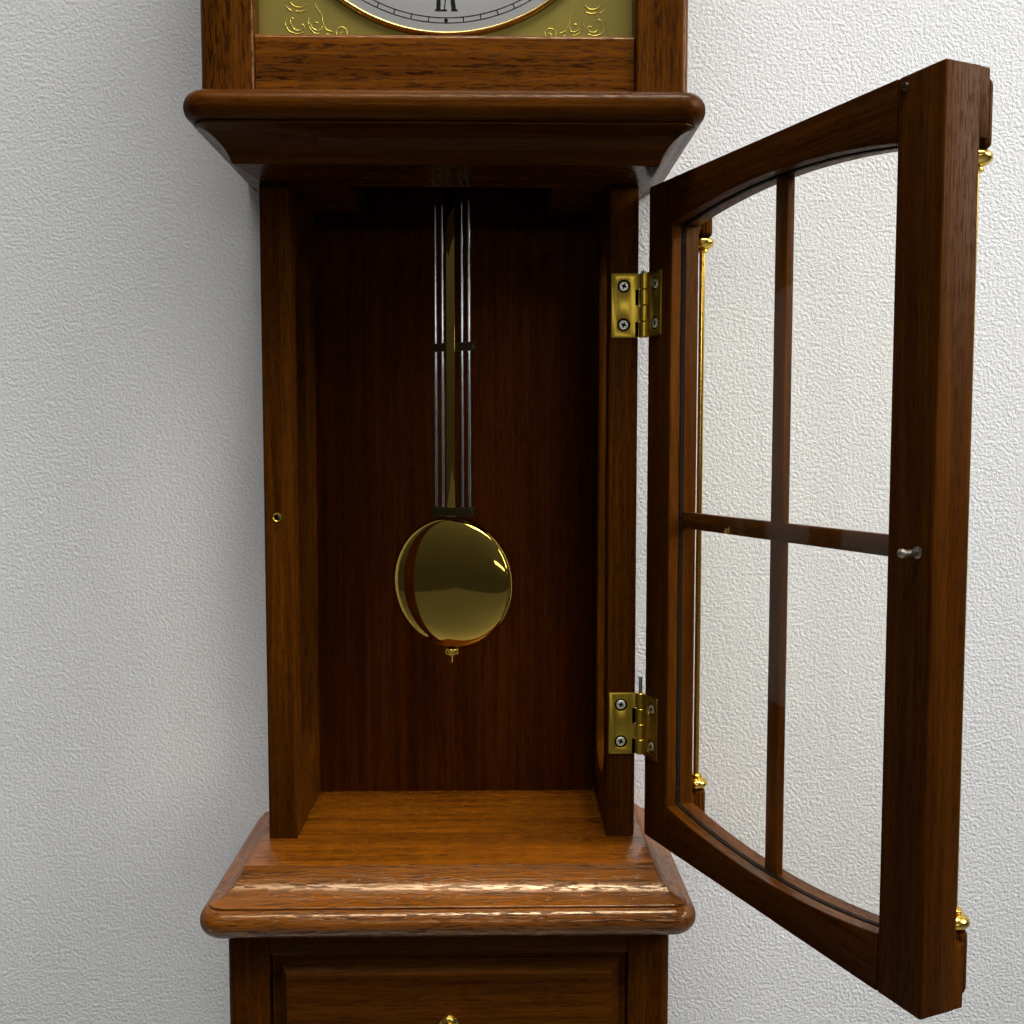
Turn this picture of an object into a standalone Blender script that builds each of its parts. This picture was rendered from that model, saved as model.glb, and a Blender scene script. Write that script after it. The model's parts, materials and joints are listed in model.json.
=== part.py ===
"""Oak wall clock: hood with a square dial, glazed waist door, pendulum and a base drawer.

Metres, +Z up, front towards -Y. The origin is on the wall, level with the hand arbor.
The waist door stands open and the pendulum hangs turned a little on its hook.
"""
import math

import bmesh
import bpy
from mathutils import Matrix, Vector

# Fits
GAP = 0.0003            # between pieces that touch
PLAY = 0.0006           # round pieces that slide or turn in one another
EASED_EDGE = 0.0008     # arrises of the boards, taken off with glass paper

# Case
WAIST_WIDTH = 0.236
WAIST_DEPTH = 0.097
WAIST_HEIGHT = 0.416
SIDE_THICK = 0.018
BACK_THICK = 0.007
HANGING_HOLE = 0.004    # radius, over a wall screw
HANGING_DROP = 0.020    # below the top of the hood
LEDGE_SIDE = 0.0065     # flat of a moulded board beyond the waist
LEDGE_FRONT = 0.0434
COVE_WIDTH = 0.0172
COVE_HEIGHT = 0.019
NOSE_REACH = 0.007
NOSE_HEIGHT = 0.0175
NOSE_CORNER = 0.016
QUIRK = 0.0012          # small step between cove and round nose
HOOD_SETBACK = 0.012    # hood front behind the nose below it
BASE_SETBACK = 0.0155
CROWN_LEDGE = 0.004     # flat of the cornice beyond the hood
WINDOW_FRONT = 0.020
WINDOW_WIDTH = 0.048
WINDOW_MARGIN = 0.031
WINDOW_CORNER = 0.020
WINDOW_REBATE = 0.005
REBATE_DEPTH = 0.006
GLASS_THICK = 0.002
SLOT_WIDTH = 0.130      # notch in the hood board for the pendulum
SLOT_CLEARANCE = 0.022  # notch in front of the swing plane

# Hood and dial
DIAL_MARGIN = 0.0020    # plate seen between bezel and frame
HOOD_STILE = 0.0305
HOOD_RAIL = 0.0335
RAIL_SETBACK = 0.003
STILE_DEPTH = 0.0145
HOOD_SIDE_THICK = 0.014
HOOD_OUTER_ROUND = 0.005
HOOD_INNER_ROUND = 0.004
DIAL_LAP = 0.008        # dial plate behind the frame
DIAL_THICK = 0.0015
CHAPTER_RADIUS = 0.1022
CHAPTER_THICK = 0.0012
BEZEL_WIDTH = 0.0030
BEZEL_HEIGHT = 0.003

# Base and drawer
BASE_HEIGHT = 0.113
BASE_RAIL = 0.0148
BASE_STILE = 0.0257
FRAME_DEPTH = 0.018
BASE_ROUND = 0.006
BASE_SIDE_THICK = 0.014
RUNNER_WIDTH = 0.026
RUNNER_HEIGHT = 0.010
FOOT_THICK = 0.018
FOOT_LEDGE = 0.002
DRAWER_FIT = 0.0006
DRAWER_RECESS = 0.003
DRAWER_BORDER = 0.0036
DRAWER_BEVEL = 0.0066
DRAWER_RAISE = 0.0072
DRAWER_FRONT_THICK = 0.015
TRAY_DEPTH = 0.105
TRAY_HEIGHT = 0.060
TRAY_WALL = 0.008
TRAY_FLOOR = 0.006
KNOB_RADIUS = 0.007
KNOB_REACH = 0.017

# Waist door
DOOR_OPEN = math.radians(112.3)
DOOR_STANDOFF = 0.0024  # room for the two hinge leaves
DOOR_CLEARANCE = 0.0028 # above and below
DOOR_THICK = 0.0204
DOOR_STILE = 0.0265
DOOR_RAIL = 0.0275
ARCH_RISE = 0.0085
GLASS_SETBACK = 0.008   # from the door's inner face
GLASS_LAP = 0.0045
MUNTIN_WIDTH = 0.010
MUNTIN_THICK = 0.006
COLUMN_INSET = 0.0130   # column axis from the door's edge
COLUMN_REACH = 0.0112   # column axis in front of the door's face
COLUMN_HALF = 0.0069    # half the block's width and depth
COLUMN_DEPTH = 0.0055
COLUMN_REEDS = 9
REED_DEPTH = 0.0004
COLUMN_BLOCK = 0.0298
BLOCK_END = 0.0004      # block short of the stile's end
BLOCK_PLATE = 0.0048
BLOCK_PLATE_WIDTH = 0.0205
ROD_RADIUS = 0.0018
BUN_RADIUS = 0.0073
BUN_HEIGHT = 0.0075
COLLAR_RADIUS = 0.0038
COLLAR_HEIGHT = 0.0023
CATCH_INSET = 0.008
CATCH_RADIUS = 0.0015
CATCH_BULB = 0.0021
CATCH_LENGTH = 0.011
CATCH_HOLE_DEPTH = 0.016

# Hinges
HINGE_OFFSET = 0.0033   # pin axis beyond the waist side
HINGE_HEIGHT = 0.040
HINGE_LEAF = 0.017
LEAF_THICK = 0.0008
KNUCKLE_RADIUS = 0.003
KNUCKLES = 4
PIN_RADIUS = 0.0012
PIN_HEAD = 0.0019
PIN_HEAD_HEIGHT = 0.0012
HINGE_SPREAD = 0.133    # each hinge from the door's middle
RAISED_PIN = 0.009      # lower pin stands up out of its knuckles

# Movement
PLATE_THICK = 0.002
PLATE_HALF_WIDTH = 0.045
PLATE_ABOVE = 0.050
PLATE_BELOW = 0.078
DIAL_FEET = 0.0075      # room for the motion work behind the dial
PLATE_SPACE = 0.0405
PILLAR_RADIUS = 0.003
PILLAR_INSET = 0.006
ARBOR_RADIUS = 0.0013
PIVOT_RADIUS = 0.0008
WHEEL_THICK = 0.0018
PINION_LENGTH = 0.0040
TOOTH_TIP = 0.75        # teeth beyond and within the pitch circle, in modules
TOOTH_ROOT = 1.35
GREAT_MODULE = 0.00084
MIDDLE_MODULE = 0.00072
CENTRE_MODULE = 0.00057
THIRD_MODULE = 0.00048
CANNON_MODULE = 0.00075
MIDDLE_LAYER = 0.0030   # wheels behind the front plate
CENTRE_LAYER = 0.0090
THIRD_LAYER = 0.0165
ESCAPE_LAYER = 0.0270
GREAT_LAYER = 0.0065    # great wheel before the back plate
CANNON_LAYER = 0.0027   # motion work before the front plate
HOUR_LAYER = 0.0030
BARREL_ARBOR = 0.0025
ESCAPE_ARBOR = 0.0011
BARREL_DRUM = 0.026
BARREL_LENGTH = 0.018
ESCAPE_RADIUS = 0.011
PALLET_CLEARANCE = 0.0013
CRUTCH_LENGTH = 0.060
COCK_WIDTH = 0.022
COCK_ARM = 0.003
COCK_HEIGHT = 0.007
SPRING_RELIEF = 0.0009  # half the slit that the spring bends in
ANCHOR_ARM = 0.0032
CRUTCH_STEM = 0.0022

# Hands
HOUR_HAND = 0.062
MINUTE_HAND = 0.090
HAND_THICK = 0.0008
HAND_SPACE = 0.0012
HOUR_PIPE = 0.0036
CANNON_PIPE = 0.0020
HAND_BOSS = 0.0062
HOUR_HAND_WIDTH = 0.0050
HOUR_SPADE = 0.0045
MINUTE_HAND_WIDTH = 0.0042
MINUTE_SPADE = 0.0035
HOUR_AT = math.radians(304)      # eight minutes past ten
MINUTE_AT = math.radians(48)

# Pendulum
PENDULUM_BEHIND_FRONT = 0.032    # swing plane behind the waist's front edge
PENDULUM_TWIST = math.radians(-24)
BOB_BELOW_PIVOT = 0.470
BOB_RADIUS = 0.0438
BOB_RIM = 0.0036
BOB_CROWN = 0.0085
ROD_PLACES = (-0.0122, -0.0071, 0.0071, 0.0122)
PENDULUM_ROD = 0.0010
STRIP_WIDTH = 0.0062
STRIP_THICK = 0.0012
STRIP_FORWARD = 0.0024
BAR_WIDTH = 0.031
BAR_HEIGHT = 0.0056
BAR_DEPTH = 0.006
HEAD_BELOW_PIVOT = 0.122
CROSSBAR_ABOVE_BOB = 0.153
NUT_RADIUS = 0.0047
NUT_HEIGHT = 0.0042
SCREW_RADIUS = 0.0010
SCREW_BELOW_NUT = 0.006
SPRING_THICK = 0.0005
SPRING_WIDTH = 0.010
HOOK_STEM = 0.0015      # half the stem between the crutch's prongs

# Places that follow from the sizes
X_WAIST = WAIST_WIDTH / 2
X_INSIDE = X_WAIST - SIDE_THICK
Y_WAIST = -WAIST_DEPTH
X_FLAT = X_WAIST + LEDGE_SIDE
Y_FLAT = Y_WAIST - LEDGE_FRONT
X_NOSE = X_FLAT + COVE_WIDTH + NOSE_REACH
Y_NOSE = Y_FLAT - COVE_WIDTH - NOSE_REACH
BOARD_THICK = COVE_HEIGHT + NOSE_HEIGHT
DIAL_OPENING = 2 * (CHAPTER_RADIUS + GAP + BEZEL_WIDTH + DIAL_MARGIN)
X_HOOD = DIAL_OPENING / 2 + HOOD_STILE
Y_HOOD = Y_NOSE + HOOD_SETBACK
X_BASE = X_NOSE - BASE_SETBACK
Y_BASE = Y_NOSE + BASE_SETBACK
Z_HOOD_TOP = DIAL_OPENING / 2 + HOOD_RAIL
Z_HOOD_FOOT = -Z_HOOD_TOP
Z_WAIST_TOP = Z_HOOD_FOOT - BOARD_THICK
Z_WAIST_FLOOR = Z_WAIST_TOP - WAIST_HEIGHT
Z_BASE_TOP = Z_WAIST_FLOOR - BOARD_THICK
Z_BASE_FOOT = Z_BASE_TOP - BASE_HEIGHT
Y_DOOR = Y_WAIST - DOOR_STANDOFF
Y_DOOR_FRONT = Y_DOOR - DOOR_THICK
Z_DOOR_TOP = Z_WAIST_TOP - DOOR_CLEARANCE
Z_DOOR_FOOT = Z_WAIST_FLOOR + DOOR_CLEARANCE
Z_DOOR_MIDDLE = (Z_DOOR_TOP + Z_DOOR_FOOT) / 2
X_HINGE = X_WAIST + HINGE_OFFSET
Y_HINGE = Y_WAIST - DOOR_STANDOFF / 2
X_CATCH = -(X_WAIST - CATCH_INSET)
Y_DIAL = Y_HOOD + STILE_DEPTH + GAP
Y_PLATE = Y_DIAL + DIAL_THICK + DIAL_FEET
Y_BACK_PLATE = Y_PLATE + PLATE_THICK + PLATE_SPACE
Y_PENDULUM = Y_WAIST + PENDULUM_BEHIND_FRONT


def remove_everything():
    for item in list(bpy.data.objects):
        bpy.data.objects.remove(item, do_unlink=True)


def new_collection(name):
    collection = bpy.data.collections.new(name)
    bpy.context.scene.collection.children.link(collection)
    return collection


remove_everything()
CLOCK = new_collection("oak_wall_clock")
CUTTERS = new_collection("cutters")


def material(name, colour, roughness, metallic=0.0):
    made = bpy.data.materials.new(name)
    made.use_nodes = True
    shader = made.node_tree.nodes["Principled BSDF"]
    shader.inputs["Base Color"].default_value = (*colour, 1.0)
    shader.inputs["Roughness"].default_value = roughness
    shader.inputs["Metallic"].default_value = metallic
    return made


OAK = material("oak", (0.26, 0.10, 0.03), 0.38)
DARK_OAK = material("oak_inside", (0.13, 0.04, 0.015), 0.5)
BRASS = material("brass", (0.83, 0.60, 0.20), 0.22, 1.0)
DIAL_BRASS = material("brushed_brass", (0.50, 0.42, 0.15), 0.45, 1.0)
SILVER = material("silvered_dial", (0.72, 0.73, 0.72), 0.4, 0.6)
STEEL = material("steel", (0.62, 0.63, 0.64), 0.28, 1.0)
BRONZE = material("dark_bronze", (0.12, 0.09, 0.04), 0.4, 1.0)
BLACK = material("blackened_steel", (0.02, 0.02, 0.02), 0.35, 0.8)
GLASS = material("glass", (0.90, 0.95, 0.93), 0.03)


def mesh_object(name, bm, finish=None):
    """A piece of the clock, or a cutter when it has no finish."""
    mesh = bpy.data.meshes.new(name)
    bm.to_mesh(mesh)
    bm.free()
    mesh.shade_smooth()
    mesh.set_sharp_from_angle(angle=math.radians(32))
    piece = bpy.data.objects.new(name, mesh)
    if finish is None:
        CUTTERS.objects.link(piece)
        piece.hide_render = True
        piece.display_type = "WIRE"
    else:
        CLOCK.objects.link(piece)
        mesh.materials.append(finish)
    return piece


def carrier(name, place, parent=None):
    """An empty on a joint's axis."""
    empty = bpy.data.objects.new(name, None)
    CLOCK.objects.link(empty)
    empty.location = place
    empty.parent = parent
    return empty


def hang(pieces, empty, place):
    """Put pieces that were modelled in place on the empty that stands at that place."""
    for piece in pieces:
        piece.data.transform(Matrix.Translation(-Vector(place)))
        piece.parent = empty


def box(name, low, high, finish=None):
    bm = bmesh.new()
    bmesh.ops.create_cube(bm, size=1.0)
    low, high = Vector(low), Vector(high)
    bmesh.ops.scale(bm, vec=high - low, verts=bm.verts)
    bmesh.ops.translate(bm, vec=(low + high) / 2, verts=bm.verts)
    return mesh_object(name, bm, finish)


SPREAD = {
    "XZ": lambda a, b, d: (a, d, b),
    "XY": lambda a, b, d: (a, b, d),
    "YZ": lambda a, b, d: (d, a, b),
}


def prism(name, outline, plane, low, high, finish=None):
    """A flat outline in the named plane, extruded from low to high across it."""
    spread = SPREAD[plane]
    bm = bmesh.new()
    face = bm.faces.new([bm.verts.new(spread(a, b, low)) for a, b in outline])
    grown = bmesh.ops.extrude_face_region(bm, geom=[face])
    moved = [item for item in grown["geom"] if isinstance(item, bmesh.types.BMVert)]
    bmesh.ops.translate(bm, vec=spread(0, 0, high - low), verts=moved)
    bmesh.ops.recalc_face_normals(bm, faces=bm.faces)
    return mesh_object(name, bm, finish)


TURN = {"Z": Matrix.Identity(3), "Y": Matrix.Rotation(math.radians(-90), 3, "X")}


def turned(name, profile, axis, centre, steps, finish=None, ring=False):
    """A lathe profile of (radius, height) points about an axis; a ring's profile closes on itself."""
    bm = bmesh.new()
    verts = [bm.verts.new((radius, 0, height)) for radius, height in profile]
    ends = zip(verts, verts[1:] + verts[:1]) if ring else zip(verts, verts[1:])
    edges = [bm.edges.new(pair) for pair in ends]
    bmesh.ops.spin(bm, geom=verts + edges, cent=(0, 0, 0), axis=(0, 0, 1), dvec=(0, 0, 0),
                   angle=math.tau, steps=steps, use_duplicate=False)
    bmesh.ops.remove_doubles(bm, verts=bm.verts, dist=1e-6)
    bmesh.ops.recalc_face_normals(bm, faces=bm.faces)
    bmesh.ops.rotate(bm, cent=(0, 0, 0), matrix=TURN[axis], verts=bm.verts)
    bmesh.ops.translate(bm, vec=centre, verts=bm.verts)
    return mesh_object(name, bm, finish)


def rod(name, radius, axis, centre, low, high, steps, finish=None):
    profile = [(0, high), (radius, high), (radius, low), (0, low)]
    return turned(name, profile, axis, centre, steps, finish)


def arc(centre, radius, start, end, steps):
    """Points on a circle from one angle to another, in degrees."""
    turn = [math.radians(start + (end - start) * i / steps) for i in range(steps + 1)]
    return [(centre[0] + radius * math.cos(t), centre[1] + radius * math.sin(t)) for t in turn]


def rounded_rectangle(a0, a1, b0, b1, radius, steps):
    points = arc((a1 - radius, b1 - radius), radius, 0, 90, steps)
    points += arc((a0 + radius, b1 - radius), radius, 90, 180, steps)
    points += arc((a0 + radius, b0 + radius), radius, 180, 270, steps)
    points += arc((a1 - radius, b0 + radius), radius, 270, 360, steps)
    return points


def boolean(piece, other, operation):
    change = piece.modifiers.new(operation.lower(), "BOOLEAN")
    change.object = other
    change.operation = operation
    change.solver = "EXACT"


def cut(piece, *others):
    for other in others:
        boolean(piece, other, "DIFFERENCE")


def join(piece, *others):
    for other in others:
        boolean(piece, other, "UNION")


def ease(piece, width=EASED_EDGE, segments=1):
    change = piece.modifiers.new("eased_edges", "BEVEL")
    change.width = width
    change.segments = segments
    change.limit_method = "ANGLE"
    change.angle_limit = math.radians(50)


# Moulded boards

def cove_and_nose(steps=4):
    """Points of the moulding as (inset from the nose, distance from the flat face)."""
    lip = NOSE_REACH - QUIRK
    width = COVE_WIDTH + NOSE_REACH - lip
    height = COVE_HEIGHT - QUIRK
    points = []
    for i in range(steps + 1):
        turn = math.radians(12 + 66 * i / steps)
        across = (math.cos(math.radians(12)) - math.cos(turn))
        across /= math.cos(math.radians(12)) - math.cos(math.radians(78))
        down = (math.sin(turn) - math.sin(math.radians(12)))
        down /= math.sin(math.radians(78)) - math.sin(math.radians(12))
        points.append((lip + width * (1 - across), height * down))
    points.append((lip, COVE_HEIGHT))
    return points + round_nose(COVE_HEIGHT, NOSE_REACH + QUIRK, NOSE_HEIGHT)


def round_nose(start, reach, height, steps=5):
    points = []
    for i in range(steps + 1):
        turn = math.pi * i / steps
        points.append((reach * (1 - math.sin(turn)), start + height / 2 * (1 - math.cos(turn))))
    return points


def board_plan(half, front, radius, notched, slot=None, steps=3):
    """Plan of a board with rounded front corners, which may be notched at the back for the back board.

    A slot of half width and depth goes further in, for the pendulum to hang through.
    """
    notch = X_INSIDE
    deep = -BACK_THICK - GAP
    plan = [(-half, 0)]
    plan += arc((-half + radius, front + radius), radius, 180, 270, steps)
    plan += arc((half - radius, front + radius), radius, 270, 360, steps)
    plan.append((half, 0))
    if notched:
        plan = [(-notch, deep), (-notch, 0)] + plan + [(notch, 0), (notch, deep)]
    if slot:
        plan += [(slot[0], deep), (slot[0], -slot[1]), (-slot[0], -slot[1]), (-slot[0], deep)]
    return plan


def moulded_board(name, profile, half, front, z_flat, way, notched=False, slot=None):
    """A board whose front and side edges follow a profile; way is +1 up or -1 down from its flat face."""
    bm = bmesh.new()
    rings = []
    for inset, rise in profile:
        radius = max(NOSE_CORNER - inset, EASED_EDGE)
        plan = board_plan(half - inset, front + inset, radius, notched, slot)
        rings.append([bm.verts.new((x, y, z_flat + way * rise)) for x, y in plan])
    for lower, upper in zip(rings, rings[1:]):
        for i in range(len(lower)):
            j = (i + 1) % len(lower)
            bm.faces.new((lower[i], lower[j], upper[j], upper[i]))
    bm.faces.new(rings[0])
    bm.faces.new(rings[-1])
    bmesh.ops.recalc_face_normals(bm, faces=bm.faces)
    return mesh_object(name, bm, OAK)


def make_boards():
    moulding = cove_and_nose()
    moulded_board("plinth_board", moulding, X_NOSE, Y_NOSE, Z_WAIST_FLOOR, -1, True)
    slot = (SLOT_WIDTH / 2, SLOT_CLEARANCE - Y_PENDULUM)
    moulded_board("hood_board", moulding, X_NOSE, Y_NOSE, Z_WAIST_TOP, 1, True, slot)
    reach = CROWN_LEDGE + COVE_WIDTH + NOSE_REACH
    moulded_board("cornice_board", moulding, X_HOOD + reach, Y_HOOD - reach, Z_HOOD_TOP, 1)
    reach = FOOT_LEDGE + NOSE_REACH
    foot = round_nose(0, NOSE_REACH, FOOT_THICK)
    moulded_board("foot_board", foot, X_BASE + reach, Y_BASE - reach, Z_BASE_FOOT, -1)


# Case

def make_back_board():
    """One board, between the hood and waist sides and lapped over the backs of the base sides."""
    hood = X_HOOD - HOOD_SIDE_THICK - GAP
    waist = X_INSIDE - GAP
    base = X_BASE
    steps = [(base, Z_BASE_FOOT + GAP), (base, Z_BASE_TOP - GAP), (waist, Z_BASE_TOP - GAP),
             (waist, Z_HOOD_FOOT + GAP), (hood, Z_HOOD_FOOT + GAP), (hood, Z_HOOD_TOP - GAP)]
    outline = steps + [(-x, z) for x, z in reversed(steps)]
    board = prism("back_board", outline, "XZ", -BACK_THICK, 0, DARK_OAK)
    cut(board, rod("hanging_hole", HANGING_HOLE, "Y", (0, 0, Z_HOOD_TOP - HANGING_DROP),
                   -2 * BACK_THICK, BACK_THICK, 12))


def make_waist_side(side):
    name = "left" if side < 0 else "right"
    inner, outer = sorted((side * X_INSIDE, side * X_WAIST))
    board = box(f"waist_side_{name}", (inner, Y_WAIST, Z_WAIST_FLOOR + GAP),
                (outer, 0, Z_WAIST_TOP - GAP), OAK)
    ease(board)
    window = (Y_WAIST + WINDOW_FRONT, Y_WAIST + WINDOW_FRONT + WINDOW_WIDTH,
              Z_WAIST_FLOOR + WINDOW_MARGIN, Z_WAIST_TOP - WINDOW_MARGIN)
    hole = prism(f"window_{name}", rounded_rectangle(*window, WINDOW_CORNER, 5), "YZ",
                 inner - SIDE_THICK, outer + SIDE_THICK)
    rebate_edge = (window[0] - WINDOW_REBATE, window[1] + WINDOW_REBATE,
                   window[2] - WINDOW_REBATE, window[3] + WINDOW_REBATE)
    shoulder = side * (X_WAIST - REBATE_DEPTH)
    outside = side * (X_WAIST + REBATE_DEPTH)
    rebate = prism(f"rebate_{name}", rounded_rectangle(*rebate_edge, WINDOW_CORNER + WINDOW_REBATE, 5),
                   "YZ", *sorted((shoulder, outside)))
    cut(board, hole, rebate)
    pane_edge = (rebate_edge[0] + GAP, rebate_edge[1] - GAP, rebate_edge[2] + GAP, rebate_edge[3] - GAP)
    faces = sorted((shoulder + side * GAP, shoulder + side * (GAP + GLASS_THICK)))
    prism(f"side_glass_{name}", rounded_rectangle(*pane_edge, WINDOW_CORNER + WINDOW_REBATE - GAP, 5),
          "YZ", *faces, GLASS)
    return board


def make_waist():
    left = make_waist_side(-1)
    make_waist_side(1)
    hole = rod("catch_hole", CATCH_BULB + PLAY, "Y", (X_CATCH, Y_WAIST, Z_DOOR_MIDDLE),
               -CATCH_HOLE_DEPTH, CATCH_HOLE_DEPTH, 12)
    cut(left, hole)


def make_hood_side(side):
    """A side board and its front stile, glued up as one angle."""
    name = "left" if side < 0 else "right"
    stile_in = DIAL_OPENING / 2
    board_in = X_HOOD - HOOD_SIDE_THICK
    stile_back = Y_HOOD + STILE_DEPTH
    plan = [(board_in, 0), (board_in, stile_back), (stile_in, stile_back)]
    plan += arc((stile_in + HOOD_INNER_ROUND, Y_HOOD + HOOD_INNER_ROUND), HOOD_INNER_ROUND, 180, 270, 3)
    plan += arc((X_HOOD - HOOD_OUTER_ROUND, Y_HOOD + HOOD_OUTER_ROUND), HOOD_OUTER_ROUND, 270, 360, 4)
    plan.append((X_HOOD, 0))
    plan = [(side * x, y) for x, y in plan]
    prism(f"hood_side_{name}", plan, "XY", Z_HOOD_FOOT + GAP, Z_HOOD_TOP - GAP, OAK)


def make_hood():
    make_hood_side(-1)
    make_hood_side(1)
    half = DIAL_OPENING / 2 - GAP
    front, back = Y_HOOD + RAIL_SETBACK, Y_HOOD + STILE_DEPTH
    edge, foot = -DIAL_OPENING / 2, Z_HOOD_FOOT + GAP
    section = [(back, foot), (front, foot)]
    section += arc((front + RAIL_SETBACK, edge - RAIL_SETBACK), RAIL_SETBACK, 180, 90, 4)
    section.append((back, edge))
    prism("hood_bottom_rail", section, "YZ", -half, half, OAK)
    prism("hood_top_rail", [(y, -z) for y, z in section], "YZ", -half, half, OAK)


def make_base():
    foot, top = Z_BASE_FOOT + GAP, Z_BASE_TOP - GAP
    back = Y_BASE + FRAME_DEPTH
    plan = [(X_BASE, back), (-X_BASE, back)]
    plan += arc((-X_BASE + BASE_ROUND, Y_BASE + BASE_ROUND), BASE_ROUND, 180, 270, 4)
    plan += arc((X_BASE - BASE_ROUND, Y_BASE + BASE_ROUND), BASE_ROUND, 270, 360, 4)
    frame = prism("base_front_frame", plan, "XY", foot, top, OAK)
    half = X_BASE - BASE_STILE
    cut(frame, box("drawer_opening", (-half, Y_BASE - FRAME_DEPTH, Z_BASE_FOOT + BASE_RAIL),
                   (half, back + FRAME_DEPTH, Z_BASE_TOP - BASE_RAIL)))
    inner = X_BASE - BASE_SIDE_THICK
    runner = inner - RUNNER_WIDTH
    rest = Z_BASE_FOOT + BASE_RAIL
    section = [(X_BASE, foot), (X_BASE, top), (inner, top), (inner, rest), (runner, rest),
               (runner, rest - RUNNER_HEIGHT), (inner, rest - RUNNER_HEIGHT), (inner, foot)]
    for name, side in (("left", -1), ("right", 1)):
        prism(f"base_side_{name}", [(side * x, z) for x, z in section], "XZ", back + GAP,
              -BACK_THICK - GAP, OAK)


def make_drawer():
    slide = (0, Y_BASE, (Z_BASE_FOOT + Z_BASE_TOP) / 2)
    empty = carrier("drawer_slide", slide)
    half = X_BASE - BASE_STILE - DRAWER_FIT
    foot = Z_BASE_FOOT + BASE_RAIL + DRAWER_FIT
    top = Z_BASE_TOP - BASE_RAIL - DRAWER_FIT
    border = Y_BASE + DRAWER_RECESS
    behind = border + DRAWER_FRONT_THICK
    front = box("drawer_front", (-half, border, foot), (half, behind, top), OAK)
    bm = bmesh.new()
    bm.from_mesh(front.data)
    bm.faces.ensure_lookup_table()
    face = min(bm.faces, key=lambda item: item.calc_center_median().y)
    bmesh.ops.inset_region(bm, faces=[face], thickness=DRAWER_BORDER, use_even_offset=True)
    bmesh.ops.inset_region(bm, faces=[face], thickness=DRAWER_BEVEL, depth=DRAWER_RAISE,
                           use_even_offset=True)
    bm.to_mesh(front.data)
    bm.free()
    tray_half = half - GAP
    tray_foot = Z_BASE_FOOT + BASE_RAIL + GAP
    tray = box("drawer_tray", (-tray_half, behind + GAP, tray_foot),
               (tray_half, behind + GAP + TRAY_DEPTH, tray_foot + TRAY_HEIGHT), DARK_OAK)
    hollow = box("drawer_hollow",
                 (-tray_half + TRAY_WALL, behind + GAP + TRAY_WALL, tray_foot + TRAY_FLOOR),
                 (tray_half - TRAY_WALL, behind + GAP + TRAY_DEPTH - TRAY_WALL, tray_foot + 2 * TRAY_HEIGHT))
    cut(tray, hollow)
    field = border - DRAWER_RAISE - GAP
    neck = KNOB_RADIUS * 0.45
    profile = [(0, 0), (KNOB_RADIUS * 0.85, 0), (KNOB_RADIUS * 0.85, -KNOB_REACH * 0.09),
               (neck, -KNOB_REACH * 0.15), (neck, -KNOB_REACH * 0.4), (KNOB_RADIUS * 0.8, -KNOB_REACH * 0.5),
               (KNOB_RADIUS, -KNOB_REACH * 0.66), (KNOB_RADIUS * 0.85, -KNOB_REACH * 0.85),
               (KNOB_RADIUS * 0.5, -KNOB_REACH * 0.97), (0, -KNOB_REACH)]
    knob = turned("drawer_knob", profile, "Y", (0, field, slide[2]), 16, BRASS)
    hang((front, tray, hollow, knob), empty, slide)


# Waist door

def arched(half, edge, crown, steps=10):
    """Points of a shallow arc between two sides at edge height, through crown height in the middle."""
    rise = crown - edge
    radius = (half * half + rise * rise) / (2 * rise)
    middle = crown - radius
    points = []
    for i in range(steps + 1):
        x = half - 2 * half * i / steps
        points.append((x, middle + math.copysign(math.sqrt(radius * radius - x * x), rise)))
    return points


def pane_outline(grow):
    """The door's opening, arched above and below, grown all round."""
    half = X_WAIST - DOOR_STILE + grow
    top = arched(half, Z_DOOR_TOP - DOOR_RAIL + grow, Z_DOOR_TOP - DOOR_RAIL + ARCH_RISE + grow)
    foot = arched(half, Z_DOOR_FOOT + DOOR_RAIL - grow, Z_DOOR_FOOT + DOOR_RAIL - ARCH_RISE - grow)
    return top + foot[::-1]


def column_plan(side):
    """Plan of a reeded column end on its backing, from inside the stile forwards."""
    edge = X_WAIST
    axis = (edge - COLUMN_INSET, Y_DOOR_FRONT - COLUMN_REACH)
    seat = Y_DOOR_FRONT + DOOR_THICK / 4
    plate = Y_DOOR_FRONT - BLOCK_PLATE
    plan = [(edge, seat), (edge, plate), (axis[0] + COLUMN_HALF * 0.8, plate)]
    points = COLUMN_REEDS * 2
    for i in range(points + 1):
        turn = math.radians(45 - 270 * i / points)
        reed = REED_DEPTH * (i % 2)
        plan.append((axis[0] + (COLUMN_HALF - reed) * math.cos(turn),
                     axis[1] + (COLUMN_DEPTH - reed) * math.sin(turn)))
    inner = edge - BLOCK_PLATE_WIDTH
    plan += [(axis[0] - COLUMN_HALF * 0.8, plate), (inner, plate), (inner, seat)]
    return [(side * x, y) for x, y in plan]


def make_column_rod(name, side):
    block_face = Z_DOOR_TOP - BLOCK_END - COLUMN_BLOCK
    top = block_face - GAP - Z_DOOR_MIDDLE
    bun_foot = top - BUN_HEIGHT
    collar_foot = bun_foot - COLLAR_HEIGHT
    half = [(0, top)]
    for i in range(5):
        turn = math.radians(60 - 30 * i)
        half.append((BUN_RADIUS * math.cos(turn), bun_foot + BUN_HEIGHT * (1 + math.sin(turn)) / 2))
    half += [(COLLAR_RADIUS, bun_foot), (COLLAR_RADIUS, collar_foot), (ROD_RADIUS, collar_foot)]
    profile = half + [(radius, -height) for radius, height in reversed(half)]
    centre = (side * (X_WAIST - COLUMN_INSET), Y_DOOR_FRONT - COLUMN_REACH, Z_DOOR_MIDDLE)
    return turned(name, profile, "Z", centre, 10, BRASS)


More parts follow.
